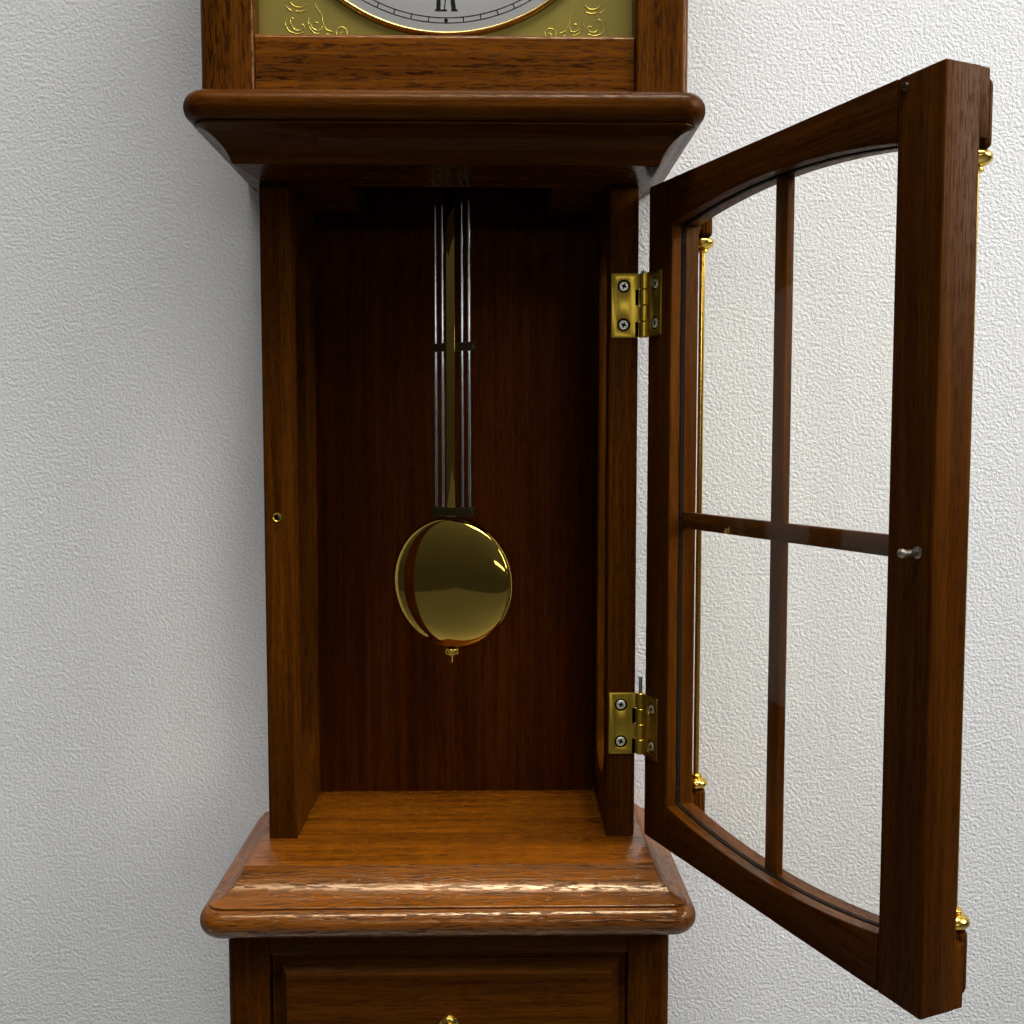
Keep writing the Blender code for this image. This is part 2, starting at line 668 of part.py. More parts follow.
def make_door_frame():
    inner = X_WAIST - DOOR_STILE
    glass_in = Y_DOOR - GLASS_SETBACK
    groove = prism("glass_groove", pane_outline(GLASS_LAP + GAP), "XZ",
                   glass_in - GLASS_THICK - GAP, glass_in + GAP)
    made = [groove]
    for name, side in (("hinge", 1), ("latch", -1)):
        low, high = sorted((side * inner, side * X_WAIST))
        stile = box(f"door_stile_{name}", (low, Y_DOOR_FRONT, Z_DOOR_FOOT), (high, Y_DOOR, Z_DOOR_TOP), OAK)
        ease(stile)
        plan = column_plan(side)
        upper = Z_DOOR_TOP - BLOCK_END
        lower = Z_DOOR_FOOT + BLOCK_END
        blocks = [prism(f"block_top_{name}", plan, "XY", upper - COLUMN_BLOCK, upper),
                  prism(f"block_foot_{name}", plan, "XY", lower, lower + COLUMN_BLOCK)]
        join(stile, *blocks)
        cut(stile, groove)
        made += [stile, make_column_rod(f"column_rod_{name}", side)] + blocks
    half = inner - GAP
    rail = [(half, Z_DOOR_TOP), (-half, Z_DOOR_TOP)]
    rail += arched(half, Z_DOOR_TOP - DOOR_RAIL, Z_DOOR_TOP - DOOR_RAIL + ARCH_RISE)[::-1]
    top = prism("door_top_rail", rail, "XZ", Y_DOOR_FRONT, Y_DOOR, OAK)
    rail = [(half, Z_DOOR_FOOT), (-half, Z_DOOR_FOOT)]
    rail += arched(half, Z_DOOR_FOOT + DOOR_RAIL, Z_DOOR_FOOT + DOOR_RAIL - ARCH_RISE)[::-1]
    foot = prism("door_bottom_rail", rail, "XZ", Y_DOOR_FRONT, Y_DOOR, OAK)
    for piece in (top, foot):
        cut(piece, groove)
    return made + [top, foot]


def make_door_glazing():
    glass_in = Y_DOOR - GLASS_SETBACK
    pane = prism("door_glass", pane_outline(GLASS_LAP), "XZ", glass_in - GLASS_THICK, glass_in, GLASS)
    back = glass_in - GLASS_THICK - GAP
    front = back - MUNTIN_THICK
    half = MUNTIN_WIDTH / 2
    crown = Z_DOOR_TOP - DOOR_RAIL + ARCH_RISE - GAP
    sill = Z_DOOR_FOOT + DOOR_RAIL - ARCH_RISE + GAP
    upright = box("door_muntin_upright", (-half, front, sill), (half, back, crown), OAK)
    reach = X_WAIST - DOOR_STILE - GAP
    cross = box("door_muntin_cross", (-reach, front, Z_DOOR_MIDDLE - half),
                (reach, back, Z_DOOR_MIDDLE + half), OAK)
    lap = (front + back) / 2
    slack = half + GAP
    notch_behind = box("lap_behind", (-slack, lap - GAP, Z_DOOR_MIDDLE - 2 * half),
                       (slack, back + MUNTIN_THICK, Z_DOOR_MIDDLE + 2 * half))
    notch_before = box("lap_before", (-2 * half, front - MUNTIN_THICK, Z_DOOR_MIDDLE - slack),
                       (2 * half, lap, Z_DOOR_MIDDLE + slack))
    cut(cross, notch_behind)
    cut(upright, notch_before)
    return [pane, upright, cross, notch_behind, notch_before]


def make_leaf(name, z_middle, faces, own):
    """A hinge leaf on the board's edge with every second knuckle about the pin."""
    foot = z_middle - HINGE_HEIGHT / 2
    plate = box(name, (X_WAIST - HINGE_LEAF, faces[0], foot),
                (X_WAIST, faces[1], foot + HINGE_HEIGHT), BRASS)
    step = HINGE_HEIGHT / KNUCKLES
    made = [plate]
    for i in range(own, KNUCKLES, 2):
        low, high = foot + i * step + GAP / 2, foot + (i + 1) * step - GAP / 2
        tongue = box(f"{name}_tongue_{i}", (X_WAIST - HINGE_LEAF / 4, faces[0], low),
                     (X_HINGE, faces[1], high))
        knuckle = rod(f"{name}_knuckle_{i}", KNUCKLE_RADIUS, "Z", (X_HINGE, Y_HINGE, 0), low, high, 10)
        join(plate, tongue, knuckle)
        made += [tongue, knuckle]
    bore = rod(f"{name}_bore", PIN_RADIUS + GAP, "Z", (X_HINGE, Y_HINGE, z_middle),
               -HINGE_HEIGHT, HINGE_HEIGHT, 8)
    cut(plate, bore)
    return made + [bore]


def make_hinges():
    moving = []
    for name, way in (("upper", 1), ("lower", -1)):
        middle = Z_DOOR_MIDDLE + way * HINGE_SPREAD
        make_leaf(f"hinge_leaf_{name}", middle, (Y_WAIST - GAP - LEAF_THICK, Y_WAIST - GAP), 0)
        moving += make_leaf(f"door_leaf_{name}", middle, (Y_DOOR + GAP, Y_DOOR + GAP + LEAF_THICK), 1)
        lift = RAISED_PIN if way < 0 else 0
        top = HINGE_HEIGHT / 2 + GAP + lift
        profile = [(0, top + PIN_HEAD_HEIGHT), (PIN_HEAD, top + PIN_HEAD_HEIGHT), (PIN_HEAD, top),
                   (PIN_RADIUS, top), (PIN_RADIUS, -HINGE_HEIGHT / 2 + lift), (0, -HINGE_HEIGHT / 2 + lift)]
        turned(f"hinge_pin_{name}", profile, "Z", (X_HINGE, Y_HINGE, middle), 8, STEEL)
    return moving


def make_catch():
    bulb = CATCH_LENGTH - 2 * CATCH_BULB
    profile = [(0, GAP), (CATCH_RADIUS, GAP), (CATCH_RADIUS, bulb)]
    for i in range(5):
        turn = math.radians(-30 + 30 * i)
        profile.append((CATCH_BULB * math.cos(turn), bulb + CATCH_BULB * (1 + math.sin(turn))))
    profile[-1] = (0, CATCH_LENGTH)
    return turned("catch_pin", profile, "Y", (X_CATCH, Y_DOOR, Z_DOOR_MIDDLE), 10, BRASS)


def make_door():
    axis = (X_HINGE, Y_HINGE, Z_DOOR_MIDDLE)
    empty = carrier("door_axis", axis)
    hang(make_door_frame() + make_door_glazing() + make_hinges() + [make_catch()], empty, axis)
    empty.rotation_euler.z = DOOR_OPEN


# Dial and hands

def make_dial():
    half = DIAL_OPENING / 2 + DIAL_LAP
    plate = box("dial_plate", (-half, Y_DIAL, -half), (half, Y_DIAL + DIAL_THICK, half), DIAL_BRASS)
    hole = HOUR_PIPE + PLAY
    cut(plate, rod("dial_hole", hole, "Y", (0, Y_DIAL, 0), -BEZEL_HEIGHT, BEZEL_HEIGHT, 20))
    face = Y_DIAL - GAP
    ring = [(hole, -CHAPTER_THICK), (CHAPTER_RADIUS, -CHAPTER_THICK), (CHAPTER_RADIUS, 0), (hole, 0)]
    turned("chapter_disc", ring, "Y", (0, face, 0), 40, SILVER, ring=True)
    inside = CHAPTER_RADIUS + GAP
    outside = inside + BEZEL_WIDTH
    bezel = [(inside, 0), (inside, -BEZEL_HEIGHT * 0.7), (inside + BEZEL_WIDTH * 0.2, -BEZEL_HEIGHT),
             (inside + BEZEL_WIDTH * 0.45, -BEZEL_HEIGHT * 0.9), (outside, 0)]
    turned("dial_bezel", bezel, "Y", (0, face, 0), 40, BRASS, ring=True)


def hand_outline(length, width, spade_at, spade):
    """A tapering hand with a spade near its tip, pointing up."""
    right = []
    steps = 12
    for i in range(steps):
        along = HAND_BOSS * 0.8 + (length - HAND_BOSS * 0.8) * i / steps
        swell = spade * math.exp(-((along - spade_at * length) / (0.07 * length)) ** 2)
        right.append((width / 2 * (1 - 0.6 * along / length) + swell, along))
    tail = arc((0, 0), HAND_BOSS, 130, 410, 8)
    return right + [(0, length)] + [(-x, z) for x, z in reversed(right)] + tail


def turned_outline(outline, angle):
    """An outline turned clockwise, as seen from the front."""
    c, s = math.cos(angle), math.sin(angle)
    return [(x * c + z * s, z * c - x * s) for x, z in outline]


def make_hand(name, length, width, spade, angle, back, bore):
    outline = turned_outline(hand_outline(length, width, 0.72, spade), angle)
    hand = prism(name, outline, "XZ", back - HAND_THICK, back, BLACK)
    cut(hand, rod(f"{name}_bore", bore, "Y", (0, back, 0), -2 * HAND_THICK, 2 * HAND_THICK, 12))


# Movement

def gear(teeth, module, phase):
    """Outline of a toothed wheel, one tooth centred on the phase angle."""
    pitch = teeth * module / 2
    points = []
    for i in range(2 * teeth):
        turn = phase + math.pi * i / teeth
        radius = pitch - TOOTH_ROOT * module if i % 2 else pitch + TOOTH_TIP * module
        points.append((radius * math.cos(turn), radius * math.sin(turn)))
    return points


def saw_wheel(teeth, radius):
    """Outline of an escape wheel with raked teeth."""
    points = []
    for i in range(teeth):
        turn = math.tau * i / teeth
        points.append((radius * math.cos(turn), radius * math.sin(turn)))
        points.append((radius * 0.80 * math.cos(turn + 0.05), radius * 0.80 * math.sin(turn + 0.05)))
    return points


def shifted(outline, place):
    return [(x + place[0], z + place[1]) for x, z in outline]


def polar(distance, degrees):
    """A step in the plane of the dial, at an angle clockwise from twelve o'clock."""
    turn = math.radians(degrees)
    return (distance * math.sin(turn), distance * math.cos(turn))


def added(a, b):
    return (a[0] + b[0], a[1] + b[1])


def bearing(a, b):
    return math.atan2(b[1] - a[1], b[0] - a[0])


# Wheel teeth and pinion leaves of the train
GREAT_TEETH, MIDDLE_LEAVES = 70, 10
MIDDLE_TEETH, CENTRE_LEAVES = 60, 10
CENTRE_TEETH, THIRD_LEAVES = 63, 7
THIRD_TEETH, ESCAPE_LEAVES = 70, 7
ESCAPE_TEETH = 30
CANNON_LEAVES, MINUTE_TEETH = 8, 24
MINUTE_LEAVES, HOUR_TEETH = 8, 32


def mesh_distance(wheel, pinion, module):
    return (wheel + pinion) * module / 2


CENTRE_AT = (0.0, 0.0)
THIRD_AT = polar(mesh_distance(CENTRE_TEETH, THIRD_LEAVES, CENTRE_MODULE), -50)
ESCAPE_STEP = mesh_distance(THIRD_TEETH, ESCAPE_LEAVES, THIRD_MODULE)
ESCAPE_AT = (0.0, THIRD_AT[1] + math.sqrt(ESCAPE_STEP ** 2 - THIRD_AT[0] ** 2))
ANCHOR_AT = (0.0, ESCAPE_AT[1] + ESCAPE_RADIUS * math.sqrt(2))
MIDDLE_AT = polar(mesh_distance(MIDDLE_TEETH, CENTRE_LEAVES, MIDDLE_MODULE), 130)
BARREL_AT = added(MIDDLE_AT, polar(mesh_distance(GREAT_TEETH, MIDDLE_LEAVES, GREAT_MODULE), 225))
MINUTE_STEP = mesh_distance(MINUTE_TEETH, CANNON_LEAVES, CANNON_MODULE)
MINUTE_WHEEL_AT = polar(MINUTE_STEP, 225)
HOUR_MODULE = 2 * MINUTE_STEP / (MINUTE_LEAVES + HOUR_TEETH)
Z_PIVOT = ANCHOR_AT[1]

# Layers of the train behind the front plate
Y_TRAIN = Y_PLATE + PLATE_THICK
Y_MIDDLE_WHEEL = Y_TRAIN + MIDDLE_LAYER
Y_CENTRE_WHEEL = Y_TRAIN + CENTRE_LAYER
Y_THIRD_WHEEL = Y_TRAIN + THIRD_LAYER
Y_ESCAPE_WHEEL = Y_TRAIN + ESCAPE_LAYER
Y_GREAT_WHEEL = Y_BACK_PLATE - GREAT_LAYER
Y_CANNON = Y_PLATE - CANNON_LAYER
Y_HOUR_WHEEL = Y_CANNON - HOUR_LAYER


def arbor(name, place, front, back, radius=ARBOR_RADIUS, finish=STEEL):
    """A spindle between the plates, with a thinner pivot in each."""
    pivot_front, pivot_back = front - PLATE_THICK, back + PLATE_THICK
    profile = [(0, pivot_back), (PIVOT_RADIUS, pivot_back), (PIVOT_RADIUS, back - GAP), (radius, back - GAP),
               (radius, front + GAP), (PIVOT_RADIUS, front + GAP), (PIVOT_RADIUS, pivot_front),
               (0, pivot_front)]
    return turned(name, profile, "Y", (place[0], 0, place[1]), 8, finish)


def toothed(name, place, outline, front, thick):
    return prism(name, shifted(outline, place), "XZ", front, front + thick)


def on_axis(pieces, name, place):
    point = (place[0], 0, place[1])
    hang(pieces, carrier(name, point), point)


def make_train():
    to_third = bearing(CENTRE_AT, THIRD_AT)
    to_escape = bearing(THIRD_AT, ESCAPE_AT)
    to_middle = bearing(CENTRE_AT, MIDDLE_AT)
    to_barrel = bearing(MIDDLE_AT, BARREL_AT)
    slack = (PINION_LENGTH - WHEEL_THICK) / 2

    def gap_phase(angle, teeth):
        return angle + math.pi + math.pi / teeth

    barrel = arbor("going_barrel", BARREL_AT, Y_TRAIN, Y_BACK_PLATE, BARREL_ARBOR, BRASS)
    great = toothed("great_wheel", BARREL_AT, gear(GREAT_TEETH, GREAT_MODULE, to_barrel + math.pi),
                    Y_GREAT_WHEEL, WHEEL_THICK)
    drum = rod("barrel_drum", BARREL_DRUM, "Y", (BARREL_AT[0], 0, BARREL_AT[1]),
               Y_GREAT_WHEEL - BARREL_LENGTH, Y_GREAT_WHEEL + WHEEL_THICK / 2, 20)
    join(barrel, great, drum)
    on_axis((barrel, great, drum), "barrel_axis", BARREL_AT)

    middle = arbor("intermediate_wheel", MIDDLE_AT, Y_TRAIN, Y_BACK_PLATE, finish=BRASS)
    wheel = toothed("middle_teeth", MIDDLE_AT, gear(MIDDLE_TEETH, MIDDLE_MODULE, to_middle + math.pi),
                    Y_MIDDLE_WHEEL, WHEEL_THICK)
    pinion = toothed("middle_leaves", MIDDLE_AT,
                     gear(MIDDLE_LEAVES, GREAT_MODULE, to_barrel + math.pi / MIDDLE_LEAVES),
                     Y_GREAT_WHEEL - slack, PINION_LENGTH)
    join(middle, wheel, pinion)
    on_axis((middle, wheel, pinion), "intermediate_axis", MIDDLE_AT)

    third = arbor("third_wheel", THIRD_AT, Y_TRAIN, Y_BACK_PLATE, finish=BRASS)
    wheel = toothed("third_teeth", THIRD_AT, gear(THIRD_TEETH, THIRD_MODULE, to_escape),
                    Y_THIRD_WHEEL, WHEEL_THICK)
    pinion = toothed("third_leaves", THIRD_AT,
                     gear(THIRD_LEAVES, CENTRE_MODULE, gap_phase(to_third, THIRD_LEAVES)),
                     Y_CENTRE_WHEEL - slack, PINION_LENGTH)
    join(third, wheel, pinion)
    on_axis((third, wheel, pinion), "third_axis", THIRD_AT)

    escape = arbor("escape_wheel", ESCAPE_AT, Y_TRAIN, Y_BACK_PLATE, ESCAPE_ARBOR, BRASS)
    wheel = toothed("escape_teeth", ESCAPE_AT, saw_wheel(ESCAPE_TEETH, ESCAPE_RADIUS),
                    Y_ESCAPE_WHEEL, WHEEL_THICK)
    pinion = toothed("escape_leaves", ESCAPE_AT,
                     gear(ESCAPE_LEAVES, THIRD_MODULE, gap_phase(to_escape, ESCAPE_LEAVES)),
                     Y_THIRD_WHEEL - slack, PINION_LENGTH)
    join(escape, wheel, pinion)
    on_axis((escape, wheel, pinion), "escape_axis", ESCAPE_AT)

    hand_back = hand_layers()[1]
    reach = hand_back - 2 * HAND_THICK
    profile = [(0, Y_BACK_PLATE + PLATE_THICK), (PIVOT_RADIUS, Y_BACK_PLATE + PLATE_THICK),
               (PIVOT_RADIUS, Y_BACK_PLATE - GAP), (CANNON_PIPE, Y_BACK_PLATE - GAP),
               (CANNON_PIPE, hand_back),
               (ARBOR_RADIUS, hand_back), (ARBOR_RADIUS, reach), (0, reach)]
    centre = turned("centre_wheel", profile, "Y", (0, 0, 0), 10, BRASS)
    wheel = toothed("centre_teeth", CENTRE_AT, gear(CENTRE_TEETH, CENTRE_MODULE, to_third),
                    Y_CENTRE_WHEEL, WHEEL_THICK)
    leaves = toothed("centre_leaves", CENTRE_AT,
                     gear(CENTRE_LEAVES, MIDDLE_MODULE, to_middle + math.pi / CENTRE_LEAVES),
                     Y_MIDDLE_WHEEL - slack, PINION_LENGTH)
    cannon = toothed("cannon_leaves", CENTRE_AT,
                     gear(CANNON_LEAVES, CANNON_MODULE, bearing(CENTRE_AT, MINUTE_WHEEL_AT)),
                     Y_CANNON, WHEEL_THICK)
    join(centre, wheel, leaves, cannon)


def hand_layers():
    """Back faces of the hour and the minute hand."""
    hour = Y_DIAL - GAP - CHAPTER_THICK - HAND_SPACE
    return hour, hour - HAND_THICK - HAND_SPACE


def make_motion_work():
    to_minute = bearing(CENTRE_AT, MINUTE_WHEEL_AT)
    front = Y_DIAL + DIAL_THICK + GAP
    behind = Y_PLATE + PLATE_THICK
    profile = [(0, behind), (PIVOT_RADIUS, behind), (PIVOT_RADIUS, Y_PLATE - GAP),
               (ARBOR_RADIUS, Y_PLATE - GAP), (ARBOR_RADIUS, front), (0, front)]
    minute = turned("minute_wheel", profile, "Y", (MINUTE_WHEEL_AT[0], 0, MINUTE_WHEEL_AT[1]), 8, BRASS)
    wheel = toothed("minute_teeth", MINUTE_WHEEL_AT,
                    gear(MINUTE_TEETH, CANNON_MODULE, to_minute + math.pi + math.pi / MINUTE_TEETH),
                    Y_CANNON, WHEEL_THICK)
    leaves = toothed("minute_leaves", MINUTE_WHEEL_AT, gear(MINUTE_LEAVES, HOUR_MODULE, to_minute + math.pi),
                     Y_HOUR_WHEEL, WHEEL_THICK)
    join(minute, wheel, leaves)
    on_axis((minute, wheel, leaves), "minute_wheel_axis", MINUTE_WHEEL_AT)

    hour_back, minute_back = hand_layers()
    hour = prism("hour_wheel", gear(HOUR_TEETH, HOUR_MODULE, to_minute + math.pi / HOUR_TEETH), "XZ",
                 Y_HOUR_WHEEL, Y_HOUR_WHEEL + WHEEL_THICK, BRASS)
    pipe = rod("hour_pipe", HOUR_PIPE, "Y", (0, 0, 0), hour_back + GAP, Y_HOUR_WHEEL + WHEEL_THICK / 2, 12)
    bore = rod("hour_bore", CANNON_PIPE + PLAY, "Y", (0, 0, 0), hour_back - HOUR_PIPE, Y_CANNON, 12)
    join(hour, pipe)
    cut(hour, bore)
    make_hand("hour_hand", HOUR_HAND, HOUR_HAND_WIDTH, HOUR_SPADE, HOUR_AT, hour_back, CANNON_PIPE + PLAY)
    make_hand("minute_hand", MINUTE_HAND, MINUTE_HAND_WIDTH, MINUTE_SPADE, MINUTE_AT, minute_back - GAP,
              ARBOR_RADIUS + GAP)


def make_plates():
    edge = (-PLATE_HALF_WIDTH, PLATE_HALF_WIDTH, -PLATE_BELOW, PLATE_ABOVE)
    outline = rounded_rectangle(*edge, PILLAR_INSET, 2)
    front = prism("movement_front_plate", outline, "XZ", Y_PLATE, Y_PLATE + PLATE_THICK, BRASS)
    back = prism("movement_back_plate", outline, "XZ", Y_BACK_PLATE, Y_BACK_PLATE + PLATE_THICK, BRASS)
    x = PLATE_HALF_WIDTH - PILLAR_INSET
    for i, z in enumerate((PLATE_ABOVE - PILLAR_INSET, PILLAR_INSET - PLATE_BELOW)):
        for j, side in enumerate((-1, 1)):
            place = (side * x, 0, z)
            join(back, rod(f"pillar_{i}{j}", PILLAR_RADIUS, "Y", place, Y_PLATE + PLATE_THICK + GAP,
                           Y_BACK_PLATE + PLATE_THICK / 2, 8))
            join(front, rod(f"dial_foot_{i}{j}", PILLAR_RADIUS, "Y", place, Y_DIAL + DIAL_THICK + GAP,
                            Y_PLATE + PLATE_THICK / 2, 8))
    cock_front = Y_BACK_PLATE + PLATE_THICK / 2
    cock_back = Y_PENDULUM + SPRING_WIDTH
    outer, inner = COCK_WIDTH / 2, COCK_WIDTH / 2 - COCK_ARM
    block = Y_PENDULUM - SPRING_WIDTH
    plan = [(outer, cock_front), (outer, cock_back), (-outer, cock_back), (-outer, cock_front),
            (-inner, cock_front), (-inner, block), (inner, block), (inner, cock_front)]
    cock = prism("suspension_cock", plan, "XY", Z_PIVOT - COCK_HEIGHT / 2, Z_PIVOT + COCK_HEIGHT / 2)
    slit = box("spring_slit", (-SPRING_RELIEF, Y_PENDULUM - SPRING_WIDTH / 2 - PLAY, Z_PIVOT - COCK_HEIGHT),
               (SPRING_RELIEF, cock_back + PLAY, Z_PIVOT + COCK_HEIGHT))
    join(back, cock)
    cut(back, slit)
    for name, place in (("barrel", BARREL_AT), ("middle", MIDDLE_AT), ("third", THIRD_AT),
                        ("escape", ESCAPE_AT), ("centre", CENTRE_AT), ("anchor", ANCHOR_AT)):
        front_hole = CANNON_PIPE if name == "centre" else PIVOT_RADIUS
        cut(front, rod(f"{name}_front_hole", front_hole + GAP, "Y", (place[0], Y_PLATE, place[1]),
                       -PLATE_THICK, 2 * PLATE_THICK, 8))
        back_hole = ARBOR_RADIUS if name == "anchor" else PIVOT_RADIUS
        cut(back, rod(f"{name}_back_hole", back_hole + GAP, "Y", (place[0], Y_BACK_PLATE, place[1]),
                      -PLATE_THICK, 2 * PLATE_THICK, 8))
    cut(front, rod("minute_hole", PIVOT_RADIUS + GAP, "Y", (MINUTE_WHEEL_AT[0], Y_PLATE, MINUTE_WHEEL_AT[1]),
                   -PLATE_THICK, 2 * PLATE_THICK, 8))


def make_anchor():
    """Anchor on its arbor, with the crutch that embraces the pendulum behind the back plate."""
    crutch_front = Y_BACK_PLATE + PLATE_THICK + PLAY
    crutch_back = crutch_front + WHEEL_THICK
    profile = [(0, crutch_back), (ARBOR_RADIUS, crutch_back), (ARBOR_RADIUS, Y_TRAIN + GAP),
               (PIVOT_RADIUS, Y_TRAIN + GAP), (PIVOT_RADIUS, Y_PLATE), (0, Y_PLATE)]
    anchor = turned("anchor", profile, "Y", (0, 0, Z_PIVOT), 8, STEEL)
    tip = ESCAPE_RADIUS + PALLET_CLEARANCE
    pallet = (tip * math.sin(math.radians(45)), ESCAPE_AT[1] + tip * math.cos(math.radians(45)))
    arm = ANCHOR_ARM
    half = [(0, Z_PIVOT + arm), (arm, Z_PIVOT + arm * 0.6), (pallet[0] + arm * 0.9, pallet[1] + arm * 0.5),
            pallet, (pallet[0] - arm * 0.2, pallet[1] + arm * 0.8), (arm * 0.3, Z_PIVOT - arm)]
    outline = half + [(-x, z) for x, z in reversed(half)][:-1]
    arms = prism("anchor_arms", outline, "XZ", Y_ESCAPE_WHEEL, Y_ESCAPE_WHEEL + WHEEL_THICK)
    stem = CRUTCH_STEM
    foot = Z_PIVOT - CRUTCH_LENGTH
    lever = box("crutch_lever", (-stem, crutch_front, foot), (stem, crutch_back, Z_PIVOT + stem))
    join(anchor, arms, lever)
    prong_in = HOOK_STEM + PLAY
    made = [anchor, arms, lever]
    bridge = box("crutch_bridge", (-prong_in - stem, crutch_front, foot),
                 (prong_in + stem, crutch_back, foot + 2 * stem))
    join(anchor, bridge)
    made.append(bridge)
    for side in (-1, 1):
        low, high = sorted((side * prong_in, side * (prong_in + stem)))
        prong = box(f"crutch_prong_{side}", (low, crutch_front, foot),
                    (high, Y_PENDULUM + HOOK_STEM + PLAY, foot + 2 * stem))
        join(anchor, prong)
        made.append(prong)
    on_axis(made, "anchor_axis", ANCHOR_AT)


# Pendulum

def make_bob(middle):
    """A crowned brass lens with a flat way through it for the strip."""
    z = middle[2]
    front = [(BOB_RADIUS * math.sin(math.radians(18 * i)),
              -BOB_RIM / 2 - BOB_CROWN * math.cos(math.radians(18 * i))) for i in range(6)]
    back = [(radius, BOB_RIM / 2 + (-height - BOB_RIM / 2) * 0.35) for radius, height in reversed(front)]
    bob = turned("pendulum_bob", front + back, "Y", (0, middle[1], z), 28, BRASS)
    half = STRIP_WIDTH / 2 + GAP
    clear = max(STRIP_THICK / 2, SCREW_RADIUS) + GAP
    way = box("strip_way", (-half, middle[1] - clear, z - 2 * BOB_RADIUS),
              (half, middle[1] + clear, z + 2 * BOB_RADIUS))
    cut(bob, way)
    nut_top = z - BOB_RADIUS - GAP
    bore = SCREW_RADIUS + GAP
    nut_foot = nut_top - NUT_HEIGHT
    ring = [(bore, nut_top), (NUT_RADIUS, nut_top), (NUT_RADIUS, nut_foot), (bore, nut_foot)]
    nut = turned("rating_nut", ring, "Z", (0, middle[1], 0), 12, BRASS, ring=True)
    return [bob, way, nut]


def make_pendulum_frame(bob_z, strip_y):
    """Head, four rods, crossbar and foot of the pendulum, with the strip in front of the rods."""
    made = []
    foot_top = bob_z + BOB_RADIUS + 2 * GAP + BAR_HEIGHT
    head_foot = Z_PIVOT - HEAD_BELOW_PIVOT
    back, front = Y_PENDULUM + BAR_DEPTH / 2, strip_y - STRIP_THICK
    for i, x in enumerate(ROD_PLACES):
        made.append(rod(f"pendulum_rod_{i + 1}", PENDULUM_ROD, "Z", (x, Y_PENDULUM, 0),
                        foot_top + GAP, head_foot - GAP, 8, STEEL))
    half = STRIP_WIDTH / 2
    screw_top = bob_z - BOB_RADIUS + NUT_HEIGHT
    screw_foot = bob_z - BOB_RADIUS - NUT_HEIGHT - SCREW_BELOW_NUT
    strip = box("pendulum_strip", (-half, strip_y - STRIP_THICK / 2, screw_top),
                (half, strip_y + STRIP_THICK / 2, head_foot - GAP), BRASS)
    screw = rod("rating_screw", SCREW_RADIUS, "Z", (0, strip_y, 0), screw_foot,
                screw_top + NUT_HEIGHT / 2, 10)
    join(strip, screw)
    made += [strip, screw]
    foot = box("pendulum_foot", (-BAR_WIDTH / 2, front, foot_top - BAR_HEIGHT),
               (BAR_WIDTH / 2, back, foot_top), BRONZE)
    passage = box("foot_passage", (-half - GAP, strip_y - STRIP_THICK / 2 - GAP, foot_top - 2 * BAR_HEIGHT),
                  (half + GAP, strip_y + STRIP_THICK / 2 + GAP, foot_top + BAR_HEIGHT))
    cut(foot, passage)
    bar_foot = bob_z + CROSSBAR_ABOVE_BOB
    bar = box("pendulum_crossbar", (-BAR_WIDTH / 2, strip_y + STRIP_THICK / 2 + GAP, bar_foot),
              (BAR_WIDTH / 2, back, bar_foot + BAR_HEIGHT), BRONZE)
    for i, x in enumerate(ROD_PLACES):
        eye = rod(f"crossbar_eye_{i}", PENDULUM_ROD + GAP, "Z", (x, Y_PENDULUM, bar_foot),
                  -BAR_HEIGHT, 2 * BAR_HEIGHT, 8)
        cut(bar, eye)
        made.append(eye)
    return made + [foot, passage, bar]


def make_pendulum_head():
    """Suspension spring and chop, hook stem and the bar that the rods hang from."""
    stem = HOOK_STEM
    bar_foot = Z_PIVOT - HEAD_BELOW_PIVOT
    spring_half = SPRING_WIDTH / 2
    spring = box("pendulum_head", (-SPRING_THICK / 2, Y_PENDULUM - spring_half, Z_PIVOT - 3 * COCK_HEIGHT),
                 (SPRING_THICK / 2, Y_PENDULUM + spring_half, Z_PIVOT + COCK_HEIGHT), BRONZE)
    chop = box("spring_chop", (-2 * stem, Y_PENDULUM - spring_half, Z_PIVOT + COCK_HEIGHT / 2 + 2 * GAP),
               (2 * stem, Y_PENDULUM + spring_half, Z_PIVOT + COCK_HEIGHT * 1.4))
    hook = box("hook_stem", (-stem, Y_PENDULUM - stem, bar_foot + BAR_HEIGHT / 2),
               (stem, Y_PENDULUM + stem, Z_PIVOT - 2.4 * COCK_HEIGHT))
    clamp = box("spring_clamp", (-2 * stem, Y_PENDULUM - spring_half, Z_PIVOT - 3.2 * COCK_HEIGHT),
                (2 * stem, Y_PENDULUM + spring_half, Z_PIVOT - 2.4 * COCK_HEIGHT))
    bar = box("head_bar", (-BAR_WIDTH / 2, -BAR_DEPTH, bar_foot),
              (BAR_WIDTH / 2, BAR_DEPTH / 2, bar_foot + BAR_HEIGHT))
    bar.data.transform(Matrix.Rotation(PENDULUM_TWIST, 4, "Z"))
    bar.data.transform(Matrix.Translation((0, Y_PENDULUM, 0)))
    join(spring, chop, clamp, hook, bar)
    return [spring, chop, clamp, hook, bar]


def make_pendulum():
    axis = (0, Y_PENDULUM, Z_PIVOT)
    swing = carrier("pendulum_axis", axis)
    twist = carrier("pendulum_twist", (0, 0, 0), swing)
    bob_z = Z_PIVOT - BOB_BELOW_PIVOT
    strip_y = Y_PENDULUM - STRIP_FORWARD
    hang(make_pendulum_head(), swing, axis)
    hang(make_pendulum_frame(bob_z, strip_y) + make_bob((0, strip_y, bob_z)), twist, axis)
    twist.rotation_euler.z = PENDULUM_TWIST


make_boards()
make_back_board()
make_waist()
make_hood()
make_base()
make_drawer()
make_door()
make_dial()
make_plates()
make_train()
make_motion_work()
make_anchor()
make_pendulum()
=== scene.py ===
"""Finish of the oak wall clock: its wood, brass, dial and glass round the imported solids."""
import json
from math import copysign, cos, exp, pi, radians, sin, sqrt, tau

import bmesh
import bpy
from bpy.props import FloatProperty, FloatVectorProperty, IntProperty, PointerProperty
from mathutils import Matrix, Vector


